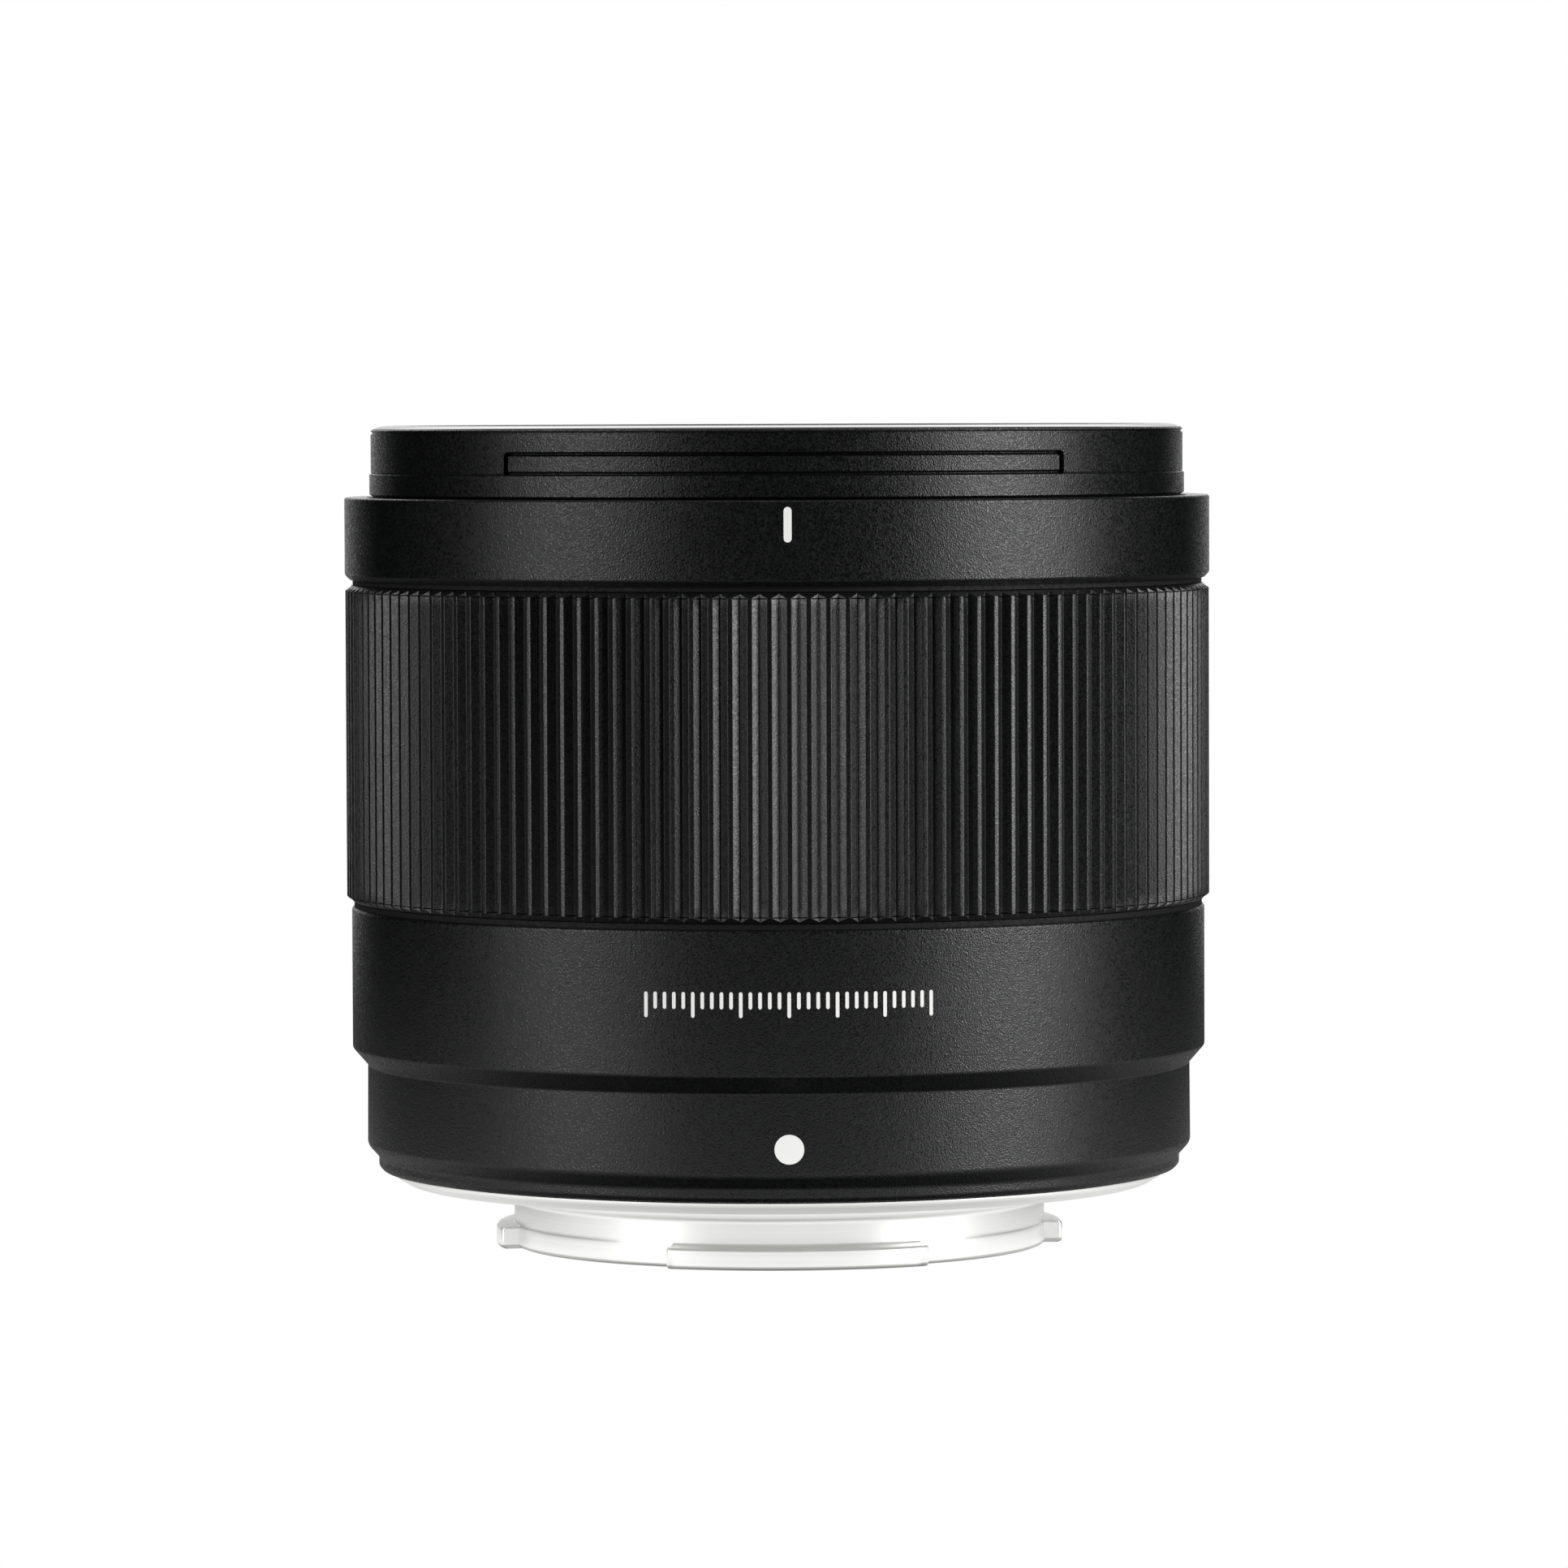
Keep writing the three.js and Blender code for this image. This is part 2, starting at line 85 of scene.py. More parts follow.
def makeCamera(spec):
    camera = bpy.data.cameras.new("studioCamera")
    camera.lens = spec["focalLength"]
    camera.sensor_width = spec["sensor"]
    camera.clip_start = 0.01
    camera.clip_end = 20
    camera.dof.use_dof = False
    holder = placed("studioCamera", camera)
    swing = Matrix.Rotation(math.radians(spec["azimuth"]), 4, "Z")
    place = Matrix.Translation(Vector((spec["sideShift"], -spec["axisDistance"], spec["height"])) * mm)
    tilt = Matrix.Rotation(math.radians(90 - spec["pitch"]), 4, "X")
    roll = Matrix.Rotation(math.radians(spec["roll"]), 4, "Z")
    holder.matrix_world = swing @ place @ tilt @ roll
    bpy.context.scene.camera = holder


makeCamera(view)
print("camera ready")


# Material helpers

def hexColour(value):
    # sRGB hex to linear
    parts = [int(value[i:i + 2], 16) / 255 for i in (0, 2, 4)]
    linear = [part / 12.92 if part <= 0.04045 else ((part + 0.055) / 1.055) ** 2.4 for part in parts]
    return (*linear, 1.0)


def addNode(tree, kind, settings=None, values=None, links=None):
    node = tree.nodes.new(kind)
    for name, value in (settings or {}).items():
        setattr(node, name, value)
    for name, value in (values or {}).items():
        node.inputs[name].default_value = value
    for name, source in (links or {}).items():
        tree.links.new(source, node.inputs[name])
    return node


def perMm(size):
    # texture scale for a pattern of this size in mm, in object coordinates
    return 1 / (size * mm)


def startMaterial(name, values):
    material = bpy.data.materials.new(name)
    material.use_nodes = True
    tree = material.node_tree
    shader = tree.nodes["Principled BSDF"]
    for socket, value in values.items():
        shader.inputs[socket].default_value = value
    place = addNode(tree, "ShaderNodeTexCoord").outputs["Object"]
    return material, tree, shader, place


def fromTo(source, result=(0.0, 1.0)):
    # values that map one range onto another
    return {"From Min": source[0], "From Max": source[1], "To Min": result[0], "To Max": result[1]}


def dressSurface(tree, shader, look, tone, shine, height, shineRange=(0.3, 0.7)):
    # the colour, the gloss and the relief each follow a pattern
    mixed = addNode(tree, "ShaderNodeMix", {"data_type": "RGBA"},
                    {6: hexColour(look["colours"][0]), 7: hexColour(look["colours"][1])}, {0: tone})
    gloss = addNode(tree, "ShaderNodeMapRange", values=fromTo(shineRange, look["roughness"]),
                    links={"Value": shine})
    strength, depth = look["relief"]
    relief = addNode(tree, "ShaderNodeBump", values={"Strength": strength, "Distance": depth * mm},
                     links={"Height": height})
    tree.links.new(mixed.outputs[2], shader.inputs["Base Color"])
    tree.links.new(gloss.outputs["Result"], shader.inputs["Roughness"])
    tree.links.new(relief.outputs["Normal"], shader.inputs["Normal"])


def grainMaterial(name, look):
    # one even surface: cloudy colour, and round dimples that differ in colour, gloss and relief
    material, tree, shader, place = startMaterial(name, look["shader"])
    cloud = addNode(tree, "ShaderNodeTexNoise",
                    values={"Scale": perMm(look["cloudMm"]), "Detail": 4.0}, links={"Vector": place})
    dimples = addNode(tree, "ShaderNodeTexVoronoi", {"feature": "F1"},
                      {"Scale": perMm(look["grainMm"])}, {"Vector": place})
    each = addNode(tree, "ShaderNodeSeparateColor", links={"Color": dimples.outputs["Color"]})
    share = addNode(tree, "ShaderNodeMath", {"operation": "MULTIPLY"},
                    links={0: cloud.outputs["Fac"], 1: each.outputs["Red"]})
    dressSurface(tree, shader, look, share.outputs["Value"], each.outputs["Green"],
                 dimples.outputs["Distance"], (0.0, 1.0))
    return material


def turnedMaterial(name, look):
    # metal cut on a lathe: rings of fine tool marks round Z over a soft grain
    material, tree, shader, place = startMaterial(name, look["shader"])
    parts = addNode(tree, "ShaderNodeSeparateXYZ", links={"Vector": place})
    level = addNode(tree, "ShaderNodeCombineXYZ", links={axis: parts.outputs[axis] for axis in "XY"})
    radius = addNode(tree, "ShaderNodeVectorMath", {"operation": "LENGTH"},
                     links={0: level.outputs["Vector"]})
    reach = addNode(tree, "ShaderNodeCombineXYZ",
                    links={"X": radius.outputs["Value"], "Z": parts.outputs["Z"]})
    marks = addNode(tree, "ShaderNodeTexNoise",
                    values={"Scale": perMm(look["toolMm"]), "Detail": 2.0},
                    links={"Vector": reach.outputs["Vector"]}).outputs["Fac"]
    cloud = addNode(tree, "ShaderNodeTexNoise",
                    values={"Scale": perMm(look["cloudMm"]), "Detail": 3.0}, links={"Vector": place})
    dressSurface(tree, shader, look, cloud.outputs["Fac"], marks, marks)
    return material


# Aluminium, bead blasted and anodised black: very dark, with a soft silky shine over a fine sandy grain
anodisedBlasted = grainMaterial("anodisedAluminiumBlasted", {
    "shader": {"IOR": 1.55},
    "colours": ("090a0b", "1e1f21"),
    "cloudMm": 9.0,
    "grainMm": 0.12,
    "roughness": (0.22, 0.48),
    "relief": (1.0, 0.02),
})

# Aluminium, ribs cut by a wheel and anodised black: a shade brighter, crisper edges, hardly any grain
anodisedCut = grainMaterial("anodisedAluminiumCut", {
    "shader": {"IOR": 1.6},
    "colours": ("0c0d0e", "222325"),
    "cloudMm": 7.0,
    "grainMm": 0.12,
    "roughness": (0.26, 0.44),
    "relief": (1.0, 0.008),
})

# Aluminium, turned with a diamond and anodised black: smooth enough to mirror a pale room
anodisedBright = turnedMaterial("anodisedAluminiumDiamondTurned", {
    "shader": {"IOR": 1.76},
    "colours": ("101113", "17181a"),
    "cloudMm": 7.0,
    "toolMm": 0.05,
    "roughness": (0.1, 0.18),
    "relief": (0.1, 0.001),
})

# Brass, turned and chromed satin: bright silver with rings of fine tool marks
chromedTurned = turnedMaterial("chromedBrassTurned", {
    "shader": {"Metallic": 1.0},
    "colours": ("ececea", "f3f3f1"),
    "cloudMm": 6.0,
    "toolMm": 0.14,
    "roughness": (0.28, 0.36),
    "relief": (0.12, 0.002),
})

# Polycarbonate with glass fibre, moulded and spark textured: deep matt black inside the barrel
plasticTextured = grainMaterial("polycarbonateMoulded", {
    "shader": {"IOR": 1.58},
    "colours": ("0b0b0c", "101011"),
    "cloudMm": 5.0,
    "grainMm": 0.22,
    "roughness": (0.5, 0.66),
    "relief": (0.4, 0.015),
})

# Anti-reflection lacquer, sprayed on turned metal: the darkest and flattest black
lacquerSprayed = grainMaterial("opticalLacquerSprayed", {
    "shader": {"IOR": 1.45},
    "colours": ("070708", "0b0b0b"),
    "cloudMm": 4.0,
    "grainMm": 0.18,
    "roughness": (0.62, 0.8),
    "relief": (0.45, 0.02),
})

# Engraving enamel, wiped in and baked: dense off-white with a slight unevenness, plus a painted glow (a
# weak white emission) that makes the marks brighter than their lighting would
enamelWithPaintedGlow = grainMaterial("engravingEnamelWithPaintedGlow", {
    "shader": {"IOR": 1.5, "Emission Color": hexColour("ffffff"), "Emission Strength": 0.36},
    "colours": ("e9e9e6", "f3f3f1"),
    "cloudMm": 0.5,
    "grainMm": 0.12,
    "roughness": (0.4, 0.55),
    "relief": (0.2, 0.006),
})

# Spring steel, rolled and coated with graphite lacquer: dark, even and dull
steelLacquered = grainMaterial("springSteelLacquered", {
    "shader": {"Metallic": 0.35},
    "colours": ("1a1a1b", "222224"),
    "cloudMm": 3.0,
    "grainMm": 0.15,
    "roughness": (0.42, 0.55),
    "relief": (0.2, 0.004),
})

# Stainless steel, ground: cool grey with fine rings
steelGround = turnedMaterial("stainlessSteelGround", {
    "shader": {"Metallic": 1.0},
    "colours": ("a9abad", "b8babb"),
    "cloudMm": 4.0,
    "toolMm": 0.08,
    "roughness": (0.2, 0.34),
    "relief": (0.2, 0.004),
})

# Brass, turned and left bare: warm yellow with fine rings
brassTurned = turnedMaterial("brassTurned", {
    "shader": {"Metallic": 1.0},
    "colours": ("c9a45c", "d8b56c"),
    "cloudMm": 2.0,
    "toolMm": 0.07,
    "roughness": (0.22, 0.36),
    "relief": (0.2, 0.004),
})

# Copper alloy, hard gold plated: deep yellow with a soft polish from wiping contact
goldPlated = grainMaterial("copperAlloyGoldPlated", {
    "shader": {"Metallic": 1.0},
    "colours": ("d9a441", "e8ba5c"),
    "cloudMm": 0.6,
    "grainMm": 0.1,
    "roughness": (0.16, 0.28),
    "relief": (0.15, 0.003),
})

# Acetal, moulded natural: milky white with a faint flow pattern
acetalMoulded = grainMaterial("acetalMoulded", {
    "shader": {"IOR": 1.48, "Subsurface Weight": 0.1},
    "colours": ("dedbd2", "e9e7e0"),
    "cloudMm": 3.0,
    "grainMm": 0.3,
    "roughness": (0.38, 0.52),
    "relief": (0.2, 0.006),
})

# Epoxy, transfer moulded round chips: dark grey with a dry even face
epoxyMoulded = grainMaterial("epoxyTransferMoulded", {
    "shader": {"IOR": 1.55},
    "colours": ("17181a", "1f2022"),
    "cloudMm": 1.5,
    "grainMm": 0.08,
    "roughness": (0.45, 0.6),
    "relief": (0.4, 0.006),
})

# Ceramic, fired and tinned: small tan parts
ceramicFired = grainMaterial("ceramicCapacitorFired", {
    "shader": {"IOR": 1.6},
    "colours": ("8f7a5e", "b8b3a8"),
    "cloudMm": 0.7,
    "grainMm": 0.08,
    "roughness": (0.35, 0.5),
    "relief": (0.3, 0.004),
})


def trackMaterial(name, look):
    # laminate with copper tracks that show as lighter lines under the surface
    material, tree, shader, place = startMaterial(name, look["shader"])
    cells = addNode(tree, "ShaderNodeTexVoronoi", {"feature": "DISTANCE_TO_EDGE"},
                    values={"Scale": perMm(look["trackMm"]), "Randomness": look["scatter"]},
                    links={"Vector": place})
    line = addNode(tree, "ShaderNodeMapRange", values=fromTo((0.04, 0.07)),
                   links={"Value": cells.outputs["Distance"]}).outputs["Result"]
    grain = addNode(tree, "ShaderNodeTexNoise",
                    values={"Scale": perMm(look["grainMm"]), "Detail": 2.0}, links={"Vector": place})
    dressSurface(tree, shader, look, line, grain.outputs["Fac"], line)
    return material


# Glass fibre laminate under solder resist, screen printed: glossy green with lighter tracks
boardLaminate = trackMaterial("glassFibreLaminateResist", {
    "shader": {"IOR": 1.55},
    "colours": ("2a7a4c", "0f3d26"),
    "trackMm": 1.6,
    "scatter": 0.75,
    "grainMm": 0.25,
    "roughness": (0.22, 0.36),
    "relief": (0.5, 0.02),
})

# Polyimide film over etched copper, laminated: amber with long light tracks
polyimideLaminate = trackMaterial("polyimideFilmLaminated", {
    "shader": {"IOR": 1.6},
    "colours": ("c98a3a", "8a4a14"),
    "trackMm": 0.9,
    "scatter": 0.2,
    "grainMm": 0.2,
    "roughness": (0.25, 0.38),
    "relief": (0.5, 0.015),
})


def makeGlass(name, look):
    # optical glass, polished and vacuum coated: clear, with a faint coloured reflection
    material, tree, shader, place = startMaterial(name, {
        "Base Color": hexColour(look["colour"]),
        "IOR": look["ior"],
        "Transmission Weight": 1.0,
        "Thin Film Thickness": look["filmNm"],
        "Thin Film IOR": 1.38,
    })
    haze = addNode(tree, "ShaderNodeTexNoise",
                   values={"Scale": perMm(look["hazeMm"]), "Detail": 5.0}, links={"Vector": place})
    gloss = addNode(tree, "ShaderNodeMapRange", values=fromTo((0.45, 0.8), look["roughness"]),
                    links={"Value": haze.outputs["Fac"]})
    tree.links.new(gloss.outputs["Result"], shader.inputs["Roughness"])
    return material


polished = {"colour": "fbfdfc", "hazeMm": 11, "roughness": (0.0, 0.03)}
glassFront = makeGlass("opticalGlassCoatedFront", {**polished, "ior": 1.62, "filmNm": 102.0})
glassInner = makeGlass("opticalGlassCoatedInner", {**polished, "ior": 1.7, "filmNm": 122.0})
print("materials ready")


# Mesh helpers

def evenNormals(piece):
    # wide faces keep their own direction, so that only the small rounds turn the light
    modifier = piece.modifiers.new("evenNormals", "WEIGHTED_NORMAL")
    modifier.keep_sharp = True


def finishPiece(name, mesh, material, nodeNames=(), body="body", sharp=30):
    mesh.materials.append(material)
    mesh.shade_smooth()
    mesh.set_sharp_from_angle(angle=math.radians(sharp))
    piece = placed(name, mesh)
    evenNormals(piece)
    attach(piece, body)
    if nodeNames:
        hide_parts(*nodeNames)
    return piece


def meshFrom(build, name):
    bmesh.ops.recalc_face_normals(build, faces=build.faces)
    mesh = bpy.data.meshes.new(name)
    build.to_mesh(mesh)
    build.free()
    return mesh


def filletLoop(points, steps=4):
    # corners given as (radius, z, fillet) become arcs of that fillet
    loop = []
    count = len(points)
    for i, point in enumerate(points):
        here = Vector(point[:2])
        fillet = point[2] if len(point) > 2 else 0
        if not fillet:
            loop.append(here)
            continue
        before = (Vector(points[i - 1][:2]) - here)
        after = (Vector(points[(i + 1) % count][:2]) - here)
        reach = min(fillet, 0.45 * before.length, 0.45 * after.length)
        start = here + before.normalized() * reach
        end = here + after.normalized() * reach
        for step in range(steps + 1):
            share = step / steps
            first = start.lerp(here, share)
            second = here.lerp(end, share)
            loop.append(first.lerp(second, share))
    return loop


def sweptMesh(name, angles, profileAt):
    # a closed profile swept round Z; every angle gives the same number of (radius, z) points, in mm
    build = bmesh.new()
    rows = []
    for angle in angles:
        across, along = math.cos(angle), math.sin(angle)
        rows.append([build.verts.new((r * across * mm, r * along * mm, z * mm))
                     for r, z in profileAt(angle)])
    for i, row in enumerate(rows):
        following = rows[(i + 1) % len(rows)]
        for j in range(len(row)):
            k = (j + 1) % len(row)
            build.faces.new((row[j], following[j], following[k], row[k]))
    return meshFrom(build, name)


def evenAngles(count):
    return [turn * i / count for i in range(count)]


def ringMesh(name, points, sides=256):
    loop = filletLoop(points)
    return sweptMesh(name, evenAngles(sides), lambda angle: loop)


def spunMesh(name, points, sides, centre=(0, 0)):
    # an open profile from axis to axis, spun round its own upright axis at centre, all in mm
    build = bmesh.new()
    rings = []
    for r, z in points:
        if r < 1e-6:
            rings.append([build.verts.new((centre[0] * mm, centre[1] * mm, z * mm))])
        else:
            rings.append([build.verts.new(((centre[0] + r * math.cos(angle)) * mm,
                                           (centre[1] + r * math.sin(angle)) * mm, z * mm))
                          for angle in evenAngles(sides)])
    for lower, upper in zip(rings, rings[1:]):
        for i in range(sides):
            k = (i + 1) % sides
            low, high = len(lower), len(upper)
            corners = (lower[i % low], lower[k % low], upper[k % high], upper[i % high])
            unique = list(dict.fromkeys(corners))
            if len(unique) > 2:
                build.faces.new(unique)
    return meshFrom(build, name)


def plateMesh(name, outlines, bottom, top, bevel):
    # flat plate from an outline and its holes, with bevelled rims, in mm
    curve = bpy.data.curves.new(name, "CURVE")
    curve.dimensions = "2D"
    curve.fill_mode = "BOTH"
    curve.extrude = ((top - bottom) / 2 - bevel) * mm
    curve.bevel_depth = bevel * mm
    curve.bevel_resolution = 1
    curve.offset = -bevel * mm
    for outline in outlines:
        spline = curve.splines.new("POLY")
        spline.points.add(len(outline) - 1)
        for point, (x, y) in zip(spline.points, outline):
            point.co = (x * mm, y * mm, 0, 1)
        spline.use_cyclic_u = True
    holder = placed(name, curve)
    mesh = bpy.data.meshes.new_from_object(holder.evaluated_get(bpy.context.evaluated_depsgraph_get()))
    bpy.data.objects.remove(holder)
    bpy.data.curves.remove(curve)
    mesh.transform(Matrix.Translation((0, 0, (bottom + top) / 2 * mm)))
    mesh.name = name
    build = bmesh.new()
    build.from_mesh(mesh)
    bmesh.ops.remove_doubles(build, verts=build.verts, dist=1e-7)
    bmesh.ops.recalc_face_normals(build, faces=build.faces)
    build.to_mesh(mesh)
    build.free()
    return mesh


def arcPoints(radius, start, end, steps, centre=(0, 0)):
    return [(centre[0] + radius * math.cos(start + (end - start) * i / steps),
             centre[1] + radius * math.sin(start + (end - start) * i / steps)) for i in range(steps + 1)]


def circlePoints(radius, steps, centre=(0, 0)):
    return arcPoints(radius, 0, turn, steps, centre)[:-1]


def sectorPoints(innerRadius, outerRadius, start, end, steps):
    return arcPoints(outerRadius, start, end, steps) + arcPoints(innerRadius, end, start, steps)


def roundedOutline(halfWidth, halfHeight, corner, steps, arc=None):
    # a rectangle with round corners; another arc radius makes a parallel outline inside or outside it
    x, y = halfWidth - corner, halfHeight - corner
    outline = []
    for i, centre in enumerate(((x, y), (-x, y), (-x, -y), (x, -y))):
        outline += arcPoints(arc or corner, i * math.pi / 2, (i + 1) * math.pi / 2, steps, centre)
    return outline


def rodProfile(radius, bottom, top, bevel):
    return [(0, bottom), (radius - bevel, bottom), (radius, bottom + bevel),
            (radius, top - bevel), (radius - bevel, top), (0, top)]


def cutFrom(piece, cutters):
    # takes the cutter meshes out of a piece, and applies the result
    piece.modifiers.clear()
    for cutter in cutters:
        tool = placed("cutter", cutter)
        modifier = piece.modifiers.new("cut", "BOOLEAN")
        modifier.operation = "DIFFERENCE"
        modifier.solver = "EXACT"
        modifier.object = tool
        bpy.context.view_layer.update()
        cut = piece.evaluated_get(bpy.context.evaluated_depsgraph_get())
        result = bpy.data.meshes.new_from_object(cut)
        piece.modifiers.clear()
        old = piece.data
        piece.data = result
        bpy.data.meshes.remove(old)
        bpy.data.objects.remove(tool)
        bpy.data.meshes.remove(cutter)
    piece.data.set_sharp_from_angle(angle=math.radians(30))
    evenNormals(piece)


# Filter ring: hood bayonet outside, filter thread inside

filterRing = {
    "seatRadius": 30.6,
    "rimRadius": 30.49,
    "seatTop": 58.09,
    "shoulder": 61.18,
    "pocketTop": 59.75,
    "pocketDepth": 0.3,
    "pocketGroove": 0.2,
    "pocketHalfAngle": 41.7,
    "pocketCorner": 0.35,
    "threadRadius": 29.0,
    "threadPitch": 0.75,
    "threadDepth": 0.4,
    "threadTurns": 4,
    "sides": 360,
}


def pocketInside(angle, spec):
    # how far inside a pocket this angle is, in mm along the rim; negative outside
    half = math.radians(spec["pocketHalfAngle"])
    offset = min(abs((angle - centre + math.pi) % turn - math.pi)
                 for centre in (marksAngle, -marksAngle))
    return (half - offset) * spec["rimRadius"]


def pocketAngles(spec):
    angles = evenAngles(spec["sides"])
    half = math.radians(spec["pocketHalfAngle"])
    for centre in (marksAngle, -marksAngle):
        for side in (-1, 1):
            for step in (-0.02, 0.01, 0.05, 0.1, 0.14, 0.18, 0.26, 0.35):
                angles.append(centre + side * (half - step / spec["rimRadius"]))
    return sorted(set(round(angle % turn, 7) for angle in angles))


def makeFilterRing(spec):
    radius, bottom, top = span("filter_ring")
    rim = spec["rimRadius"]
    shoulder = spec["shoulder"]
    foot = span("index_ring")[2]
    threadBottom = top - 0.6 - spec["threadTurns"] * spec["threadPitch"]
    thread = []
    for i in range(spec["threadTurns"]):
        z = top - 0.6 - i * spec["threadPitch"]
        crest = spec["threadRadius"] + spec["threadDepth"] * 0.5
        thread += [(spec["threadRadius"] - 0.02, z), (crest, z - 0.34), (crest, z - 0.41)]

    def profileAt(angle):
        inside = pocketInside(angle, spec)
        corner = spec["pocketCorner"]
        ceiling = spec["pocketTop"]
        if 0 < inside < corner:
            ceiling -= corner - math.sqrt(corner ** 2 - (corner - inside) ** 2)
        depth = spec["pocketDepth"] if inside > 0 else 0.0
        groove = spec["pocketGroove"] if inside > 0 else 0.0
        wall = rim - depth - (groove if inside < 0.14 else 0.0)
        outer = [
            (28.6, bottom), (28.6, 53.6), (radius - 0.1, 53.6), (radius, 53.7),
            (radius, foot - 0.08), (radius - 0.3, foot + 0.02), (radius, foot + 0.22),
            (radius, spec["seatTop"] - 0.14), (radius - 0.02, spec["seatTop"] - 0.06),
            (rim - 0.04, spec["seatTop"]),
            (rim - depth - groove, spec["seatTop"] + 0.1),
            (rim - depth - groove, spec["seatTop"] + 0.12),
            (wall, spec["seatTop"] + 0.28), (wall, ceiling - 0.3),
            (rim - depth - groove, ceiling - 0.14), (rim - depth - groove, ceiling - 0.12),
            (rim - (0.03 if depth else 0.0), ceiling), (rim, ceiling + 0.05),
        ]
        # a fine line, a bead, and the lip that rounds over to the thread
        lip = [
            (rim, shoulder - 0.24), (rim - 0.02, shoulder - 0.15), (rim - 0.13, shoulder - 0.13),
            (rim - 0.13, shoulder - 0.01), (rim - 0.03, shoulder + 0.03), (rim - 0.01, shoulder + 0.09),
            (rim - 0.04, shoulder + 0.15), (rim - 0.12, shoulder + 0.18), (rim - 0.14, shoulder + 0.23),
            (rim - 0.2, shoulder + 0.2), (29.2, top - 0.12), (29.08, top - 0.12), (29.0, top - 0.2),
        ]
        inner = [
            (29.0, threadBottom), (29.0, 57.3), (28.85, 57.25), (28.85, 53.4), (26.6, 53.4),
            (26.6, bottom),
        ]
        return outer + lip + thread + inner

    mesh = sweptMesh("filterRing", pocketAngles(spec), profileAt)
    finishPiece("filterRing", mesh, anodisedBlasted, ["filter_ring"])
    # the lip itself is a bright cut that rounds over
    lip = ringMesh("rimLip", [
        (rim - 0.24, shoulder + 0.17), (rim - 0.18, shoulder + 0.2), (rim - 0.26, shoulder + 0.27),
        (rim - 0.5, shoulder + 0.37), (rim - 0.85, shoulder + 0.45), (29.25, top), (29.12, top - 0.03),
        (29.05, top - 0.14), (29.3, top - 0.2),
    ], 320)
    finishPiece("rimLip", lip, anodisedBright)


# Ring round the front glass, with fine steps against stray light

coverRing = {"steps": 9, "stepDepth": 0.16, "innerRadius": 22.6, "lipRadius": 27.9}


def makeCoverRing(spec):
    radius, bottom, top = span("front_cover_ring")
    inner = spec["innerRadius"] + 0.3
    slopeBottom = bottom + 1.45
    lip = spec["lipRadius"]
    points = [(spec["innerRadius"], bottom), (radius, bottom), (radius, top, 0.1), (lip, top, 0.1)]
    for i in range(spec["steps"]):
        share = (i + 0.3) / spec["steps"]
        following = (i + 1) / spec["steps"]
        r = lip + (inner - lip) * share
        z = top - 0.15 + (slopeBottom - top + 0.15) * share
        nextZ = top - 0.15 + (slopeBottom - top + 0.15) * following
        points += [(r, z, 0.03), (r, nextZ + spec["stepDepth"] * 0.1, 0.03)]
    points += [(inner, slopeBottom, 0.08), (spec["innerRadius"], slopeBottom - 0.35, 0.08)]
    mesh = ringMesh("frontCoverRing", points, 256)
    finishPiece("frontCoverRing", mesh, lacquerSprayed, ["front_cover_ring"])


# Index ring and its white dash

indexRing = {
    "inset": 0.015,
    "boreRadius": 30.8,
    "sealRadius": 31.9,
    "dashWidth": 0.58,
    "dashBottom": 53.31,
    "dashTop": 55.85,
}


def markMesh(name, outline, radius):
    # a painted mark wrapped on the barrel: a closed outline of (sideways, z) places, in mm
    build = bmesh.new()
    count = len(outline)

    def wrapped(x, z, lift):
        around = marksAngle + x / radius
        r = (radius + lift) * mm
        return build.verts.new((r * math.cos(around), r * math.sin(around), z * mm))

    sideways = sum(x for x, z in outline) / count
    upward = sum(z for x, z in outline) / count
    rings = [[wrapped(x, z, -0.04) for x, z in outline]]
    for share in (1.0, 0.8, 0.5):
        rings.append([wrapped(sideways + (x - sideways) * share, upward + (z - upward) * share, 0.01)
                      for x, z in outline])
    centre = wrapped(sideways, upward, 0.01)
    under = wrapped(sideways, upward, -0.04)
    for i in range(count):
        k = (i + 1) % count
        for outer, inner in zip(rings, rings[1:]):
            build.faces.new((outer[i], outer[k], inner[k], inner[i]))
        build.faces.new((rings[-1][i], rings[-1][k], centre))
        build.faces.new((rings[0][k], rings[0][i], under))
    return meshFrom(build, name)


def stadiumOutline(x, bottom, top, width, steps=8):
    half = width / 2
    return (arcPoints(half, 0, math.pi, steps, (x, top - half))
            + arcPoints(half, math.pi, turn, steps, (x, bottom + half)))


# the section of a dark ring set inside a gap between outer rings: painted shade that makes the gap read
# black
def gapShadeLoop(radius, bottom, top):
    return [(radius - 0.9, bottom), (radius, bottom), (radius, top), (radius - 0.9, top)]


def makeIndexRing(spec):
    radius, _, top = span("index_ring")
    radius -= spec["inset"]
    # painted shade: a dark lacquer ring in the gap between the focus ring and the index ring
    seal = ringMesh("frontSeal", gapShadeLoop(spec["sealRadius"], span("focus_ring")[2] + 0.04, 50.3), 192)
    finishPiece("frontSeal", seal, lacquerSprayed)
    mesh = ringMesh("indexRing", [
        (spec["boreRadius"], 50.15), (radius - 0.38, 50.15, 0.03),
        (radius, 50.54, 0.1), (radius, top - 0.12, 0.06), (radius - 0.12, top, 0.06),
        (spec["boreRadius"], top, 0.06),
    ], 320)
    finishPiece("indexRing", mesh, anodisedBlasted, ["index_ring"])
    outline = stadiumOutline(0, spec["dashBottom"], spec["dashTop"], spec["dashWidth"])
    dash = markMesh("hoodIndexDash", outline, radius)
    finishPiece("hoodIndexDash", dash, enamelWithPaintedGlow)


# Focus ring: grooves cut by a wheel leave narrow flat lands, and bevels end them

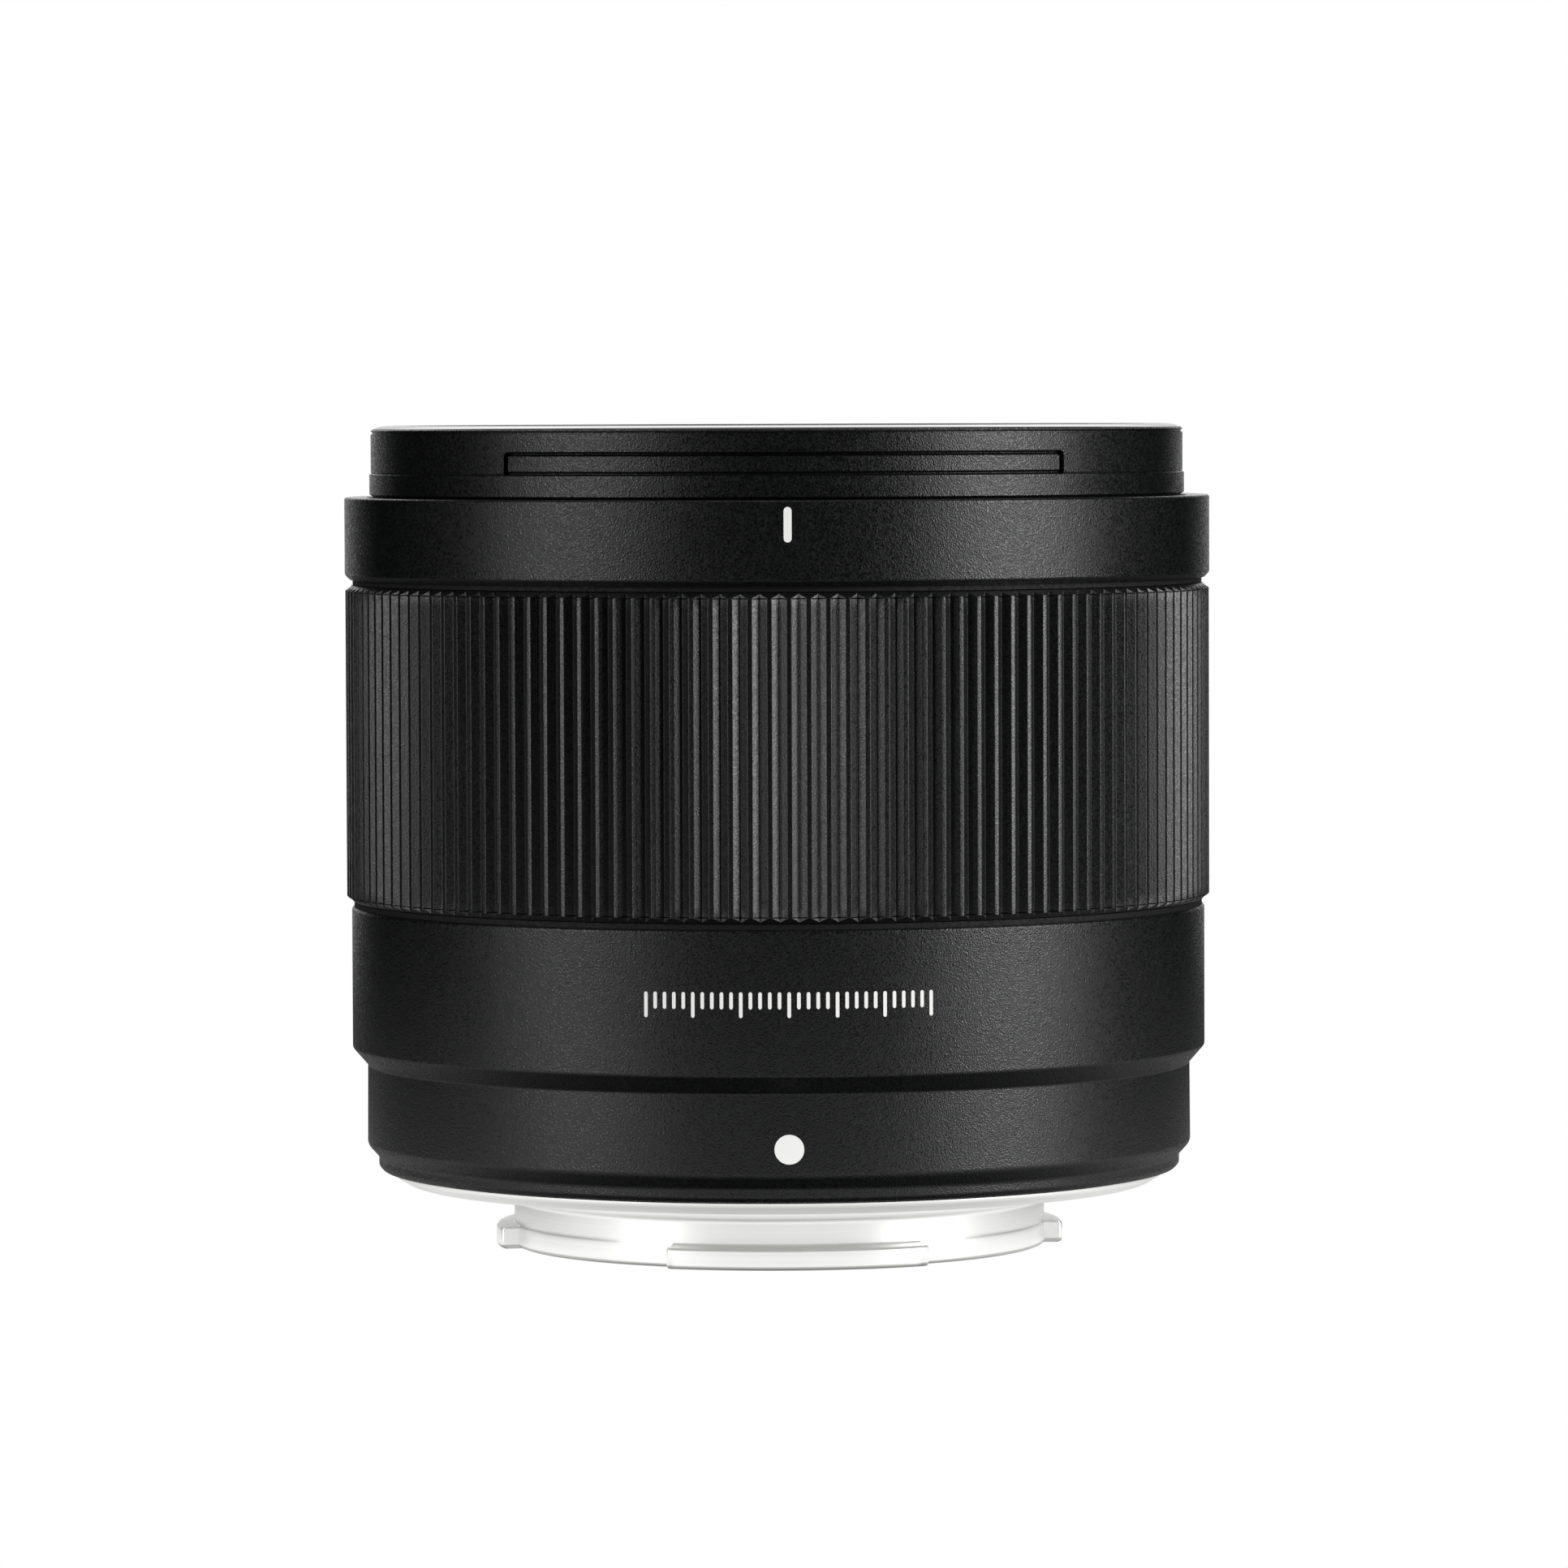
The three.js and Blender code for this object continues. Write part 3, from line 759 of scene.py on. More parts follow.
focusRing = {
    "ribs": 144,
    "landShare": 0.235,
    "grooveDepth": 0.42,
    "stepDepth": 0.14,
    "bevelDepth": 0.48,
    "bevelHeight": 0.38,
    "lineDepth": 0.12,
    "edgeRound": 0.03,
    "valleyRound": 0.05,
    "boreRadius": 30.65,
    "angle": 0.15,
}


def makeFocusRing(spec):
    radius, bottom, top = span("focus_ring")
    pitch = turn * radius / spec["ribs"]
    landHalf = spec["landShare"] * pitch / 2
    slope = spec["grooveDepth"] / (pitch / 2 - landHalf)
    edge, valley, depth = spec["edgeRound"], spec["valleyRound"], spec["grooveDepth"]
    # sideways place and depth over half a rib, from the middle of the land to the middle of the groove
    half = [
        (0.0, 0.0), (landHalf - edge, 0.0), (landHalf, slope * edge * 0.3),
        (landHalf + edge, slope * edge), (pitch / 2 - valley, depth - slope * valley),
        (pitch / 2, depth - slope * valley * 0.45),
    ]
    columns = [(-x, depth) for x, depth in reversed(half[1:-1])] + half
    places = {}
    for rib in range(spec["ribs"]):
        for x, depth in columns:
            angle = (marksAngle + math.radians(spec["angle"]) + (rib * pitch + x) / radius) % turn
            places[round(angle, 8)] = depth
    step, bevelDepth, bevelHeight = spec["stepDepth"], spec["bevelDepth"], spec["bevelHeight"]

    def profileAt(angle):
        depth = places[angle]
        wall = radius - depth
        # the bevel is a small step and a cone, and each groove runs out where it meets them
        share = max(0.0, (depth - step) / (bevelDepth - step))
        joint = max(wall, radius - bevelDepth)
        reach = (bevelHeight - 0.03) * (1 - share)
        corner = min(joint, radius - step)
        # a fine line closes each groove below its bevel
        line = spec["lineDepth"] * min(1.0, depth / step)
        outer = []
        for z, way in ((bottom, 1), (top, -1)):
            outer.append([(spec["boreRadius"] + 0.15, z), (radius - bevelDepth - 0.08, z),
                          (radius - bevelDepth, z + way * 0.03),
                          (corner - 0.001, z + way * (reach + 0.03)),
                          (wall, z + way * (reach + 0.05)), (wall, z + way * (bevelHeight + 0.03)),
                          (wall - line, z + way * (bevelHeight + 0.06)),
                          (wall, z + way * (bevelHeight + 0.12)), (wall, z + way * 1.2)])
        inner = [(spec["boreRadius"], top - 0.15), (spec["boreRadius"], (top + bottom) / 2),
                 (spec["boreRadius"], bottom + 0.15)]
        return outer[0] + [(wall, (top + bottom) / 2)] + outer[1][::-1] + inner

    mesh = sweptMesh("focusRing", sorted(places), profileAt)
    finishPiece("focusRing", mesh, anodisedCut, ["focus_ring"], "focus_ring", sharp=18)


# Rear barrel with its mounting dot and a plain scale of ticks

rearBarrel = {
    "mountRadius": 30.95,
    "stepTop": 15.05,
    "faceTop": 25.61,
    "sealRadius": 31.9,
    "stepBottom": 13.76,
    "dotHeight": 9.76,
    "dotRadius": 1.07,
    "scaleBottom": 19.3,
    "scaleTop": 21.16,
    "scaleHalfAngle": 18.6,
    "ticks": 31,
    "tickWidth": 0.26,
}


def makeRearBarrel(spec):
    radius, bottom, _ = span("rear_barrel")
    mountRadius = spec["mountRadius"]
    face = spec["faceTop"]
    # painted shade: a dark lacquer ring in the gap between the rear barrel and the focus ring
    seal = gapShadeLoop(spec["sealRadius"], face - 0.15, span("focus_ring")[1] - 0.04)
    finishPiece("rearSeal", ringMesh("rearSeal", seal, 192), lacquerSprayed)
    mesh = ringMesh("rearBarrel", [
        (28.75, bottom + 0.08), (29.0, bottom, 0.05), (29.85, bottom, 0.12),
        (30.15, bottom + 0.32, 0.14), (30.15, 6.84, 0.2), (mountRadius + 0.04, 7.75, 0.3),
        (mountRadius, spec["stepBottom"], 0.1),
        (radius, spec["stepTop"], 0.14), (radius, face - 0.15, 0.1), (radius - 0.15, face, 0.04),
        (31.0, face), (31.0, 15.4), (29.0, 13.6), (29.0, 8.3), (28.75, 8.3),
    ], 320)
    finishPiece("rearBarrel", mesh, anodisedBlasted, ["rear_barrel"])
    outline = circlePoints(spec["dotRadius"], 40, (0, spec["dotHeight"]))
    dot = markMesh("mountIndexDot", outline, mountRadius + 0.035)
    finishPiece("mountIndexDot", dot, enamelWithPaintedGlow)
    makeScale(spec, radius)


def makeScale(spec, radius):
    # every fifth tick is full height, the others are two thirds
    height = spec["scaleTop"] - spec["scaleBottom"]
    reach = math.radians(spec["scaleHalfAngle"]) * radius
    for i in range(spec["ticks"]):
        x = -reach + 2 * reach * i / (spec["ticks"] - 1)
        isLong = i % 5 == 0
        bottom = spec["scaleBottom"] if isLong else spec["scaleBottom"] + height / 3
        outline = stadiumOutline(x, bottom, spec["scaleTop"], spec["tickWidth"], 4)
        name = f"scaleTick{i + 1:02d}"
        finishPiece(name, markMesh(name, outline, radius), enamelWithPaintedGlow)


# Bayonet mount

bayonet = {
    "tubeRadius": 19.97,
    "skirtRadius": 19.99,
    "tabRadius": 21.32,
    "tabTop": 1.6,
    "tabs": [(-24.4, 29.8), (86.0, 146.0), (-140.0, -79.0)],
    "cornerRound": 0.3,
    "boreRadius": 18.2,
    "collarRadius": 21.4,
    "flangeBottom": 4.8,
    "screwCircle": 25.2,
    "screwAngles": (45, 135, 225, 315),
    "sides": 320,
}


def tabShare(angle, spec):
    # 1 on a tab, 0 off it, with rounded ends
    for start, end in spec["tabs"]:
        centre = math.radians((start + end) / 2) + marksAngle
        half = math.radians((end - start) / 2)
        offset = abs((angle - centre + math.pi) % turn - math.pi)
        inside = (half - offset) * spec["tabRadius"]
        if inside > 0:
            corner = spec["cornerRound"]
            step = spec["tabRadius"] - spec["tubeRadius"]
            if inside >= corner:
                return 1.0
            return 1 - (corner - math.sqrt(corner ** 2 - (corner - inside) ** 2)) / step
    return 0.0


def tabAngles(spec):
    angles = evenAngles(spec["sides"])
    for start, end in spec["tabs"]:
        for edge, side in ((start, 1), (end, -1)):
            for step in (-0.02, 0.01, 0.04, 0.1, 0.18, 0.3):
                angles.append(math.radians(edge) + marksAngle + side * step / spec["tabRadius"])
    return sorted(set(round(angle % turn, 7) for angle in angles))


def makeBayonet(spec):
    radius, bottom, top = span("bayonet_mount")
    skirt = spec["skirtRadius"]
    tube = spec["tubeRadius"]

    def profileAt(angle):
        share = tabShare(angle, spec)
        wall = skirt + (spec["tabRadius"] - skirt) * share
        shoulder = tube + (spec["tabRadius"] - tube) * share
        low = [
            (spec["boreRadius"] + 0.2, bottom), (wall - 0.3, bottom), (wall - 0.08, bottom + 0.08),
            (wall, bottom + 0.26), (wall, spec["tabTop"] - 0.2 + 0.05 * (1 - share)),
            (wall - 0.12 * share, spec["tabTop"] - 0.04 + 0.05 * (1 - share)),
            (min(shoulder, tube + 0.12) if share > 0 else tube + 0.01, spec["tabTop"] + 0.1),
            (tube, spec["tabTop"] + 0.2),
        ]
        high = [
            (tube, spec["tabTop"] + 0.4), (tube, 3.3), (tube, 3.45), (tube + 0.08, 3.6),
            (tube + 0.3, 3.7), (spec["collarRadius"] - 0.35, 3.72),
            (spec["collarRadius"] - 0.08, 3.8), (spec["collarRadius"], 4.0),
            (spec["collarRadius"], 4.72),
            (spec["collarRadius"] + 0.08, spec["flangeBottom"]), (27.85, spec["flangeBottom"]),
            (28.05, spec["flangeBottom"] + 0.06), (28.55, 5.16), (28.8, 5.3), (radius, 5.5),
            (radius, 5.66),
            (radius - 0.06, 5.72), (28.4, 5.72), (28.4, top), (spec["boreRadius"], top),
            (spec["boreRadius"], 5.0), (spec["boreRadius"], 1.9), (spec["boreRadius"], bottom + 0.2),
        ]
        return low + high

    mesh = sweptMesh("bayonetMount", tabAngles(spec), profileAt)
    mount = finishPiece("bayonetMount", mesh, chromedTurned, ["bayonet_mount"])
    cutters = []
    for angle in spec["screwAngles"]:
        centre = (spec["screwCircle"] * math.cos(math.radians(angle)),
                  spec["screwCircle"] * math.sin(math.radians(angle)))
        flange = spec["flangeBottom"]
        cutters.append(spunMesh("screwSink", [
            (0, flange - 1), (2.25, flange - 1), (2.25, flange + 0.12), (2.13, flange + 0.24),
            (1.15, flange + 1.25), (1.15, top + 1), (0, top + 1),
        ], 40, centre))
    cutFrom(mount, cutters)


screw = {"headRadius": 1.95, "crossWidth": 0.42, "crossLength": 2.0, "crossDepth": 0.7}


def makeMountScrews(spec):
    for number in range(1, 5):
        node = f"mount_screw_{number}"
        centre = middle(node) / mm
        bottom, top = heights(node)
        head = spec["headRadius"]
        profile = [(0, bottom), (head - 0.3, bottom), (head - 0.08, bottom + 0.03),
                   (head, bottom + 0.12),
                   (head - 0.06, bottom + 0.24), (0.95, bottom + 1.25), (0.95, bottom + 1.6)]
        z = bottom + 1.7
        while z < top - 0.4:
            profile += [(0.99, z), (0.8, z + 0.2)]
            z += 0.4
        profile += [(0.75, top), (0, top)]
        mesh = spunMesh(f"mountScrew{number}", profile, 48, (centre.x, centre.y))
        piece = finishPiece(f"mountScrew{number}", mesh, steelGround, [node])
        around = math.atan2(centre.y, centre.x) + 0.4 * number
        cutters = []
        for quarter in (0, math.pi / 2):
            half = spec["crossLength"] / 2
            wide = spec["crossWidth"] / 2
            corners = [(-half, -wide), (half, -wide), (half, wide), (-half, wide)]
            build = bmesh.new()
            lower = [build.verts.new((x * mm, y * mm, (bottom - 0.3) * mm)) for x, y in corners]
            upper = [build.verts.new((x * 0.45 * mm, y * 0.8 * mm, (bottom + spec["crossDepth"]) * mm))
                     for x, y in corners]
            for i in range(4):
                k = (i + 1) % 4
                build.faces.new((lower[i], lower[k], upper[k], upper[i]))
            build.faces.new(lower[::-1])
            build.faces.new(upper)
            cutter = meshFrom(build, "crossSlot")
            cutter.transform(Matrix.Translation((centre.x * mm, centre.y * mm, 0))
                             @ Matrix.Rotation(around + quarter, 4, "Z"))
            cutters.append(cutter)
        cutFrom(piece, cutters)


# Rear light baffle and the contacts

baffle = {"radius": 17.9, "halfWidth": 12.4, "halfHeight": 8.6, "corner": 1.4, "rimOuter": 1.95,
          "rimInner": 1.5, "seatRadius": 14.6, "seatHalfAngle": 31.5}


def makeBaffle(spec):
    bottom, top = heights("rear_baffle")
    half = math.radians(spec["seatHalfAngle"])
    up = math.pi / 2
    outline = (arcPoints(spec["radius"], up + half, up - half + turn, 120)
               + arcPoints(spec["seatRadius"], up - half, up + half, 30))
    size = spec["halfWidth"], spec["halfHeight"], spec["corner"], 6
    window = roundedOutline(*size)
    mesh = plateMesh("rearBaffle", [outline, window], bottom, top, 0.12)
    finishPiece("rearBaffle", mesh, lacquerSprayed, ["rear_baffle"])
    wall = roundedOutline(*size, spec["rimOuter"])
    hollow = roundedOutline(*size, spec["rimInner"])
    rimMesh = plateMesh("rearBaffleRim", [wall, hollow], bottom - 0.35, bottom + 0.1, 0.08)
    finishPiece("rearBaffleRim", rimMesh, lacquerSprayed)


contacts = {"count": 10, "padRadius": 0.55, "blockInner": 14.8, "blockRadius": 17.9}


def makeContacts(spec):
    halfWidth, bottom, top = span("contact_block")
    half = math.asin(halfWidth / spec["blockRadius"])
    up = math.pi / 2
    outline = sectorPoints(spec["blockInner"], spec["blockRadius"], up - half, up + half, 28)
    holes = []
    for i in range(spec["count"]):
        place = middle(f"contact_pin_{i + 1:02d}") / mm
        holes.append(circlePoints(spec["padRadius"] + 0.07, 20, (place.x, place.y)))
    mesh = plateMesh("contactBlock", [outline] + holes, bottom, top, 0.12)
    finishPiece("contactBlock", mesh, plasticTextured, ["contact_block"])
    for i in range(spec["count"]):
        node = f"contact_pin_{i + 1:02d}"
        place = middle(node) / mm
        z, end = heights(node)
        r = spec["padRadius"]
        profile = [(0, z)] + [(r * math.sin(a), z + r * 0.45 * (1 - math.cos(a)))
                              for a in [math.pi / 2 * k / 6 for k in range(1, 7)]]
        profile += [(r, end - 0.1), (r - 0.1, end), (0, end)]
        pin = spunMesh(f"contactPin{i + 1:02d}", profile, 28, (place.x, place.y))
        finishPiece(f"contactPin{i + 1:02d}", pin, goldPlated, [node])


# Glass

elements = {
    "lens_1": (22.3, 55.6, 3.4, 51.4, -2.2),
    "lens_2": (19.4, 50.4, 2.9, 46.2, -0.7),
    "lens_3": (17.4, 44.9, 0.5, 43.0, -3.0),
    "lens_4": (15.0, 41.8, 2.4, 38.4, 0.4),
    "lens_5": (11.4, 28.0, 2.2, 24.9, 0.6),
    "lens_6": (11.4, 24.6, -0.6, 22.8, -1.4),
    "lens_7": (12.2, 17.1, 1.6, 13.6, 0.5),
    "lens_8": (13.0, 12.2, -0.4, 9.8, -1.2),
    "lens_9": (13.6, 7.4, 1.1, 3.6, 0.6),
}


def sphereDrop(radius, sag, r):
    # how far a spherical face with this sag at its rim has dropped at r
    if abs(sag) < 1e-6:
        return 0.0
    curve = (radius ** 2 + sag ** 2) / (2 * sag)
    return curve - math.copysign(math.sqrt(curve ** 2 - r ** 2), curve)


def makeElements(spec):
    rings = 28
    chamfer = 0.15
    for node, (radius, front, frontSag, rear, rearSag) in spec.items():
        reach = radius - chamfer
        places = [reach * i / rings for i in range(rings + 1)]
        rearFace = [(r, rear + sphereDrop(radius, rearSag, r)) for r in places]
        frontFace = [(r, front - sphereDrop(radius, frontSag, r)) for r in places]
        rim = [(radius, rearFace[-1][1] + chamfer), (radius, frontFace[-1][1] - chamfer)]
        name = node.replace("lens_", "lensElement")
        mesh = spunMesh(name, rearFace + rim + frontFace[::-1], 128)
        look = glassFront if node == "lens_1" else glassInner
        body = "focus_carriage" if node in ("lens_5", "lens_6") else "body"
        finishPiece(name, mesh, look, [node], body, sharp=40)


# Cells, tubes and covers inside the barrel, turned smooth

def makeTurned(node, points, material):
    words = node.split("_")
    name = words[0] + "".join(word.capitalize() for word in words[1:])
    return finishPiece(name, ringMesh(name, points, 192), material, [node])


def lightTrap(start, end, count, depth):
    # fine steps along a bore, from one (radius, z) place to another
    points = []
    for i in range(count):
        for along, cut in ((0, 0), (0.75, depth), (0.76, 0)):
            place = Vector(start).lerp(Vector(end), (i + along) / count)
            points.append((place.x + cut, place.y))
    return points


def makeCells():
    makeTurned("front_cell", [
        (13.6, 37.2, 0.1), (27.9, 37.2, 0.1), (27.9, 38.2, 0.1), (25.8, 38.2, 0.1), (25.8, 53.2, 0.15),
        (22.65, 53.2, 0.08), *lightTrap((22.65, 53.0), (22.65, 48.4), 8, 0.12), (22.65, 48.3),
        (19.75, 48.3, 0.08), (19.75, 44.95), (17.75, 44.95, 0.08), (17.75, 39.1),
        (15.35, 39.1, 0.08), (15.35, 38), (13.6, 38, 0.08),
    ], lacquerSprayed)
    makeTurned("front_lens_retainer", [
        (20.6, 53.0, 0.05), (20.9, 52.7, 0.05), (22.3, 52.7, 0.05), (22.3, 53.3, 0.08),
        (20.75, 53.3, 0.05),
    ], lacquerSprayed)
    makeTurned("lens_spacer", [
        (19.9, 48.5, 0.05), (22.3, 48.5, 0.05), (22.3, 48.9, 0.05), (20.1, 48.9, 0.05),
    ], lacquerSprayed)
    makeTurned("iris_cover", [
        (12.9, 35.3, 0.05), (27.9, 35.3, 0.1), (27.9, 36.1, 0.1), (14.2, 36.1, 0.1), (12.9, 35.7, 0.05),
    ], lacquerSprayed)
    makeTurned("inner_barrel", [
        (27.2, 14, 0.1), (28.4, 14, 0.15), (28.4, 27.3, 0.1), (30.1, 27.3, 0.1), (30.1, 44.8, 0.05),
        (29.95, 44.9), (29.95, 45.2), (30.1, 45.3, 0.05), (30.1, 53.3, 0.1), (28.9, 53.3, 0.1),
        (28.9, 28.5, 0.1), (27.2, 28.5, 0.1),
    ], plasticTextured)


# Carriers that are open where the guide rods and the motor pass

carriers = {
    "rodCircle": 23.0,
    "rodAngles": (40, 220),
    "screwAngle": 75,
    "rodHole": 1.3,
    "bushHole": 1.1,
    "nutHole": 1.9,
    "motorHole": 3.0,
    "motorCircle": 23.68,
    "motorAngle": 200,
    "postCircle": 16.0,
    "postRadius": 0.5,
    "posts": 7,
    "armLength": 12.2,
    "armCircle": 19.1,
    "armWidths": (4.0, 4.0, 5.4),
}


def placeAt(radius, degrees):
    angle = math.radians(degrees)
    return radius * math.cos(angle), radius * math.sin(angle)


def rodMesh(radius, bottom, top, centre, bevel=0.08, sides=40):
    return spunMesh("rod", rodProfile(radius, bottom, top, bevel), sides, centre)


def rodsAt(angles, radius, bottom, top, circle, *form):
    return [rodMesh(radius, bottom, top, placeAt(circle, angle), *form) for angle in angles]


def mergedMesh(name, meshes):
    build = bmesh.new()
    for part in meshes:
        build.from_mesh(part)
        bpy.data.meshes.remove(part)
    mesh = bpy.data.meshes.new(name)
    build.to_mesh(mesh)
    build.free()
    return mesh


def makeCarriers(spec):
    rearCell = makeTurned("rear_cell", [
        (12.4, 2.6, 0.05), (14.5, 2.6, 0.1), (14.5, 4.9), (17.2, 4.9, 0.1), (17.2, 12.4),
        (26.9, 12.4, 0.1), (26.9, 13.4, 0.1), (16.8, 13.4), (16.8, 17.8, 0.15), (12.5, 17.8, 0.1),
        (12.5, 13.3, 0.05), (13.3, 13.3), (13.3, 8.3, 0.05), (13.9, 8.3), (13.9, 3.3, 0.05),
        (12.4, 3.3, 0.05),
    ], lacquerSprayed)
    cutFrom(rearCell, rodsAt(spec["rodAngles"], spec["rodHole"], 11, 15, spec["rodCircle"]))
    base = makeTurned("iris_base", [
        (10.7, 30.4, 0.1), (27.9, 30.4, 0.1), (27.9, 35, 0.1), (27.2, 35, 0.1), (27.2, 31.4),
        (11.2, 31.4, 0.05), (10.7, 31.0, 0.05),
    ], plasticTextured)
    cutFrom(base, rodsAt(spec["rodAngles"], spec["rodHole"], 29, 33, spec["rodCircle"])
            + rodsAt([spec["motorAngle"]], spec["motorHole"], 29, 33, spec["motorCircle"]))
    around = [360 * i / spec["posts"] for i in range(spec["posts"])]
    posts = rodsAt(around, spec["postRadius"], 31.3, 33.95, spec["postCircle"], 0.1, 24)
    finishPiece("bladePosts", mergedMesh("bladePosts", posts), steelGround)


# Focus carriage: a tube with three arms, holes for the rods and the lead screw, and a brass nut

def moveTo(mesh, place):
    mesh.transform(Matrix.Translation((place[0] * mm, place[1] * mm, 0)))


def barMesh(name, length, width, bottom, top, bevel, place, angle):
    # a bar with bevelled edges, lying along its angle
    outline = roundedOutline(length / 2, width / 2, min(0.6, width * 0.3), 5)
    mesh = plateMesh(name, [outline], bottom, top, bevel)
    mesh.transform(Matrix.Rotation(angle, 4, "Z"))
    moveTo(mesh, place)
    return mesh


def makeCarriage(spec):
    tube = ringMesh("focusCarriage", [
        (10.6, 20.4, 0.08), (13.4, 20.4, 0.12), (13.4, 28.9, 0.1), (11.7, 28.9, 0.1), (11.7, 21.3),
        (10.6, 21.3, 0.08),
    ], 160)
    arms = [barMesh("arm", spec["armLength"], width, 23.4, 25.4, 0.15,
                    placeAt(spec["armCircle"], angle), math.radians(angle))
            for angle, width in zip((*spec["rodAngles"], spec["screwAngle"]), spec["armWidths"])]
    carriage = finishPiece("focusCarriage", mergedMesh("focusCarriage", [tube] + arms), plasticTextured,
                           ["focus_carriage"], "focus_carriage")
    cutFrom(carriage, rodsAt(spec["rodAngles"], spec["bushHole"], 22, 27, spec["rodCircle"])
            + rodsAt([spec["screwAngle"]], spec["nutHole"], 22, 27, spec["rodCircle"]))
    nut = ringMesh("focusNut", [
        (1.05, 23.0), (1.6, 23.0), (1.7, 23.1), (1.7, 25.5), (2.0, 25.55), (2.0, 25.8), (1.05, 25.8),
    ], 48)
    moveTo(nut, placeAt(spec["rodCircle"], spec["screwAngle"]))
    finishPiece("focusNut", nut, brassTurned, ["focus_nut"], "focus_carriage")


# Rods, lead screw and motors

drive = {
    "rodRadius": 0.95,
    "screwRadius": 0.85,
    "screwRoot": 0.68,
    "screwPitch": 0.4,
    "motorRadius": 3.2,
    "irisMotorRadius": 2.7,
}


def makeDrive(spec, places):
    for number, angle in enumerate(places["rodAngles"], 1):
        node = f"guide_rod_{number}"
        rod = rodMesh(spec["rodRadius"], *heights(node), placeAt(places["rodCircle"], angle), 0.2)
        finishPiece(f"guideRod{number}", rod, steelGround, [node])
    centre = placeAt(places["rodCircle"], places["screwAngle"])
    bottom, top = heights("lead_screw")
    profile = [(0, bottom), (0.5, bottom), (0.55, bottom + 0.05), (0.55, bottom + 0.5)]
    z = bottom + 0.6
    root, crest = spec["screwRoot"], spec["screwRadius"]
    while z < top - 0.9:
        profile += [(root, z), (crest, z + 0.15), (crest, z + 0.22), (root, z + 0.36)]
        z += spec["screwPitch"]
    profile += [(0.5, z), (0.5, top - 0.1), (0.4, top), (0, top)]
    screwMesh = spunMesh("leadScrew", profile, 48, centre)
    finishPiece("leadScrew", screwMesh, steelGround, ["lead_screw"], "lead_screw")
    makeMotor("focusMotor", "focus_motor", spec["motorRadius"], centre)
    makeMotor("irisMotor", "iris_motor", spec["irisMotorRadius"],
              placeAt(places["motorCircle"], places["motorAngle"]))


def makeMotor(name, node, radius, centre):
    bottom, top = heights(node)
    height = top - bottom
    profile = [
        (0, bottom), (radius - 0.5, bottom), (radius - 0.3, bottom + 0.2), (radius - 0.3, bottom + 0.5),
        (radius, bottom + 0.6), (radius, bottom + height * 0.48),
        (radius - 0.12, bottom + height * 0.49), (radius - 0.12, bottom + height * 0.51),
        (radius, bottom + height * 0.52),
        (radius, top - 0.35), (radius - 0.2, top - 0.15), (1.2, top - 0.15), (1.1, top), (0, top),
    ]
    finishPiece(name, spunMesh(name, profile, 64, centre), steelGround, [node])


# Board with its parts, and the ribbon to the contacts

board = {
    "innerRadius": 18.2,
    "outerRadius": 26.6,
    "start": 100,
    "end": 350,
    "screwHole": 0.8,
    "chipSizes": (4.6, 3.2, 3.8, 2.6, 4.2),
    "smallParts": 34,
}


def makeBoard(spec):
    bottom, top = heights("main_board")
    start, end = math.radians(spec["start"]), math.radians(spec["end"])
    middleRadius = (spec["innerRadius"] + spec["outerRadius"]) / 2
    outlines = [sectorPoints(spec["innerRadius"], spec["outerRadius"], start, end, 140)]
    outlines += [circlePoints(spec["screwHole"], 20, placeAt(middleRadius, angle))
                 for angle in (spec["start"] + 4, 225, spec["end"] - 4)]
    mesh = plateMesh("mainBoard", outlines, bottom + 0.3, top - 0.05, 0.03)
    finishPiece("mainBoard", mesh, boardLaminate, ["main_board"])
    chips = []
    for i, size in enumerate(spec["chipSizes"]):
        angle = start + (end - start) * (i + 0.7) / (len(spec["chipSizes"]) + 0.4)
        place = (middleRadius * math.cos(angle), middleRadius * math.sin(angle))
        chips.append(barMesh("chip", size, size * 0.85, bottom, bottom + 0.33, 0.06, place, angle))
    finishPiece("boardChips", mergedMesh("boardChips", chips), epoxyMoulded)
    tiny = []
    for i in range(spec["smallParts"]):
        share = (i + 0.5) / spec["smallParts"]
        angle = start + 0.05 + (end - start - 0.1) * share
        radius = spec["innerRadius"] + 0.9 if i % 2 else spec["outerRadius"] - 0.9
        place = (radius * math.cos(angle), radius * math.sin(angle))
        tiny.append(barMesh("tiny", 1.0, 0.5, bottom + 0.02, bottom + 0.33, 0.05, place,
                            angle + math.pi / 2 * (i % 3)))
    finishPiece("boardSmallParts", mergedMesh("boardSmallParts", tiny), ceramicFired)


def makeFlex():
    bottom, top = heights("flex_cable")
    up = math.pi / 2
    outline = sectorPoints(17.5, 17.75, up - 0.3, up + 0.3, 24)
    mesh = plateMesh("flexCable", [outline], bottom, top, 0.03)
    finishPiece("flexCable", mesh, polyimideLaminate, ["flex_cable"])


# Studio: two tall softboxes in front, a bright wall behind, and a pale floor

studio = {
    "leftAzimuth": -57,
    "rightAzimuth": 63,
    "distance": 0.62,
    "boxWidth": 0.26,
    "boxHeight": 0.5,
    "boxCentre": 0.2,
    "leftPower": 1.5,
    "rightPower": 3.1,
    "topPower": 0.4,
    "topSize": 0.5,
    "topPlace": (0, 0.25, 0.75),
    "wallEdge": (0.88, 0.98),
    "wallLight": 1.0,
    "skyHeights": (0.15, 0.6),
    "skyLight": 2.8,
    "ceilingHeights": (0.6, 0.85),
    "ceilingLight": 0.12,
    "floorRadius": 0.34,
    "floorFadeMm": (60, 200),
    "floorGlow": 1.0,
    "floorGrazing": 1.3,
    "floorFront": (-0.02, 0.02),
    "sideShare": 0.4,
    "fillRadius": 0.1,
    "fillForward": 0.07,
    "fillPower": 0.046,
}


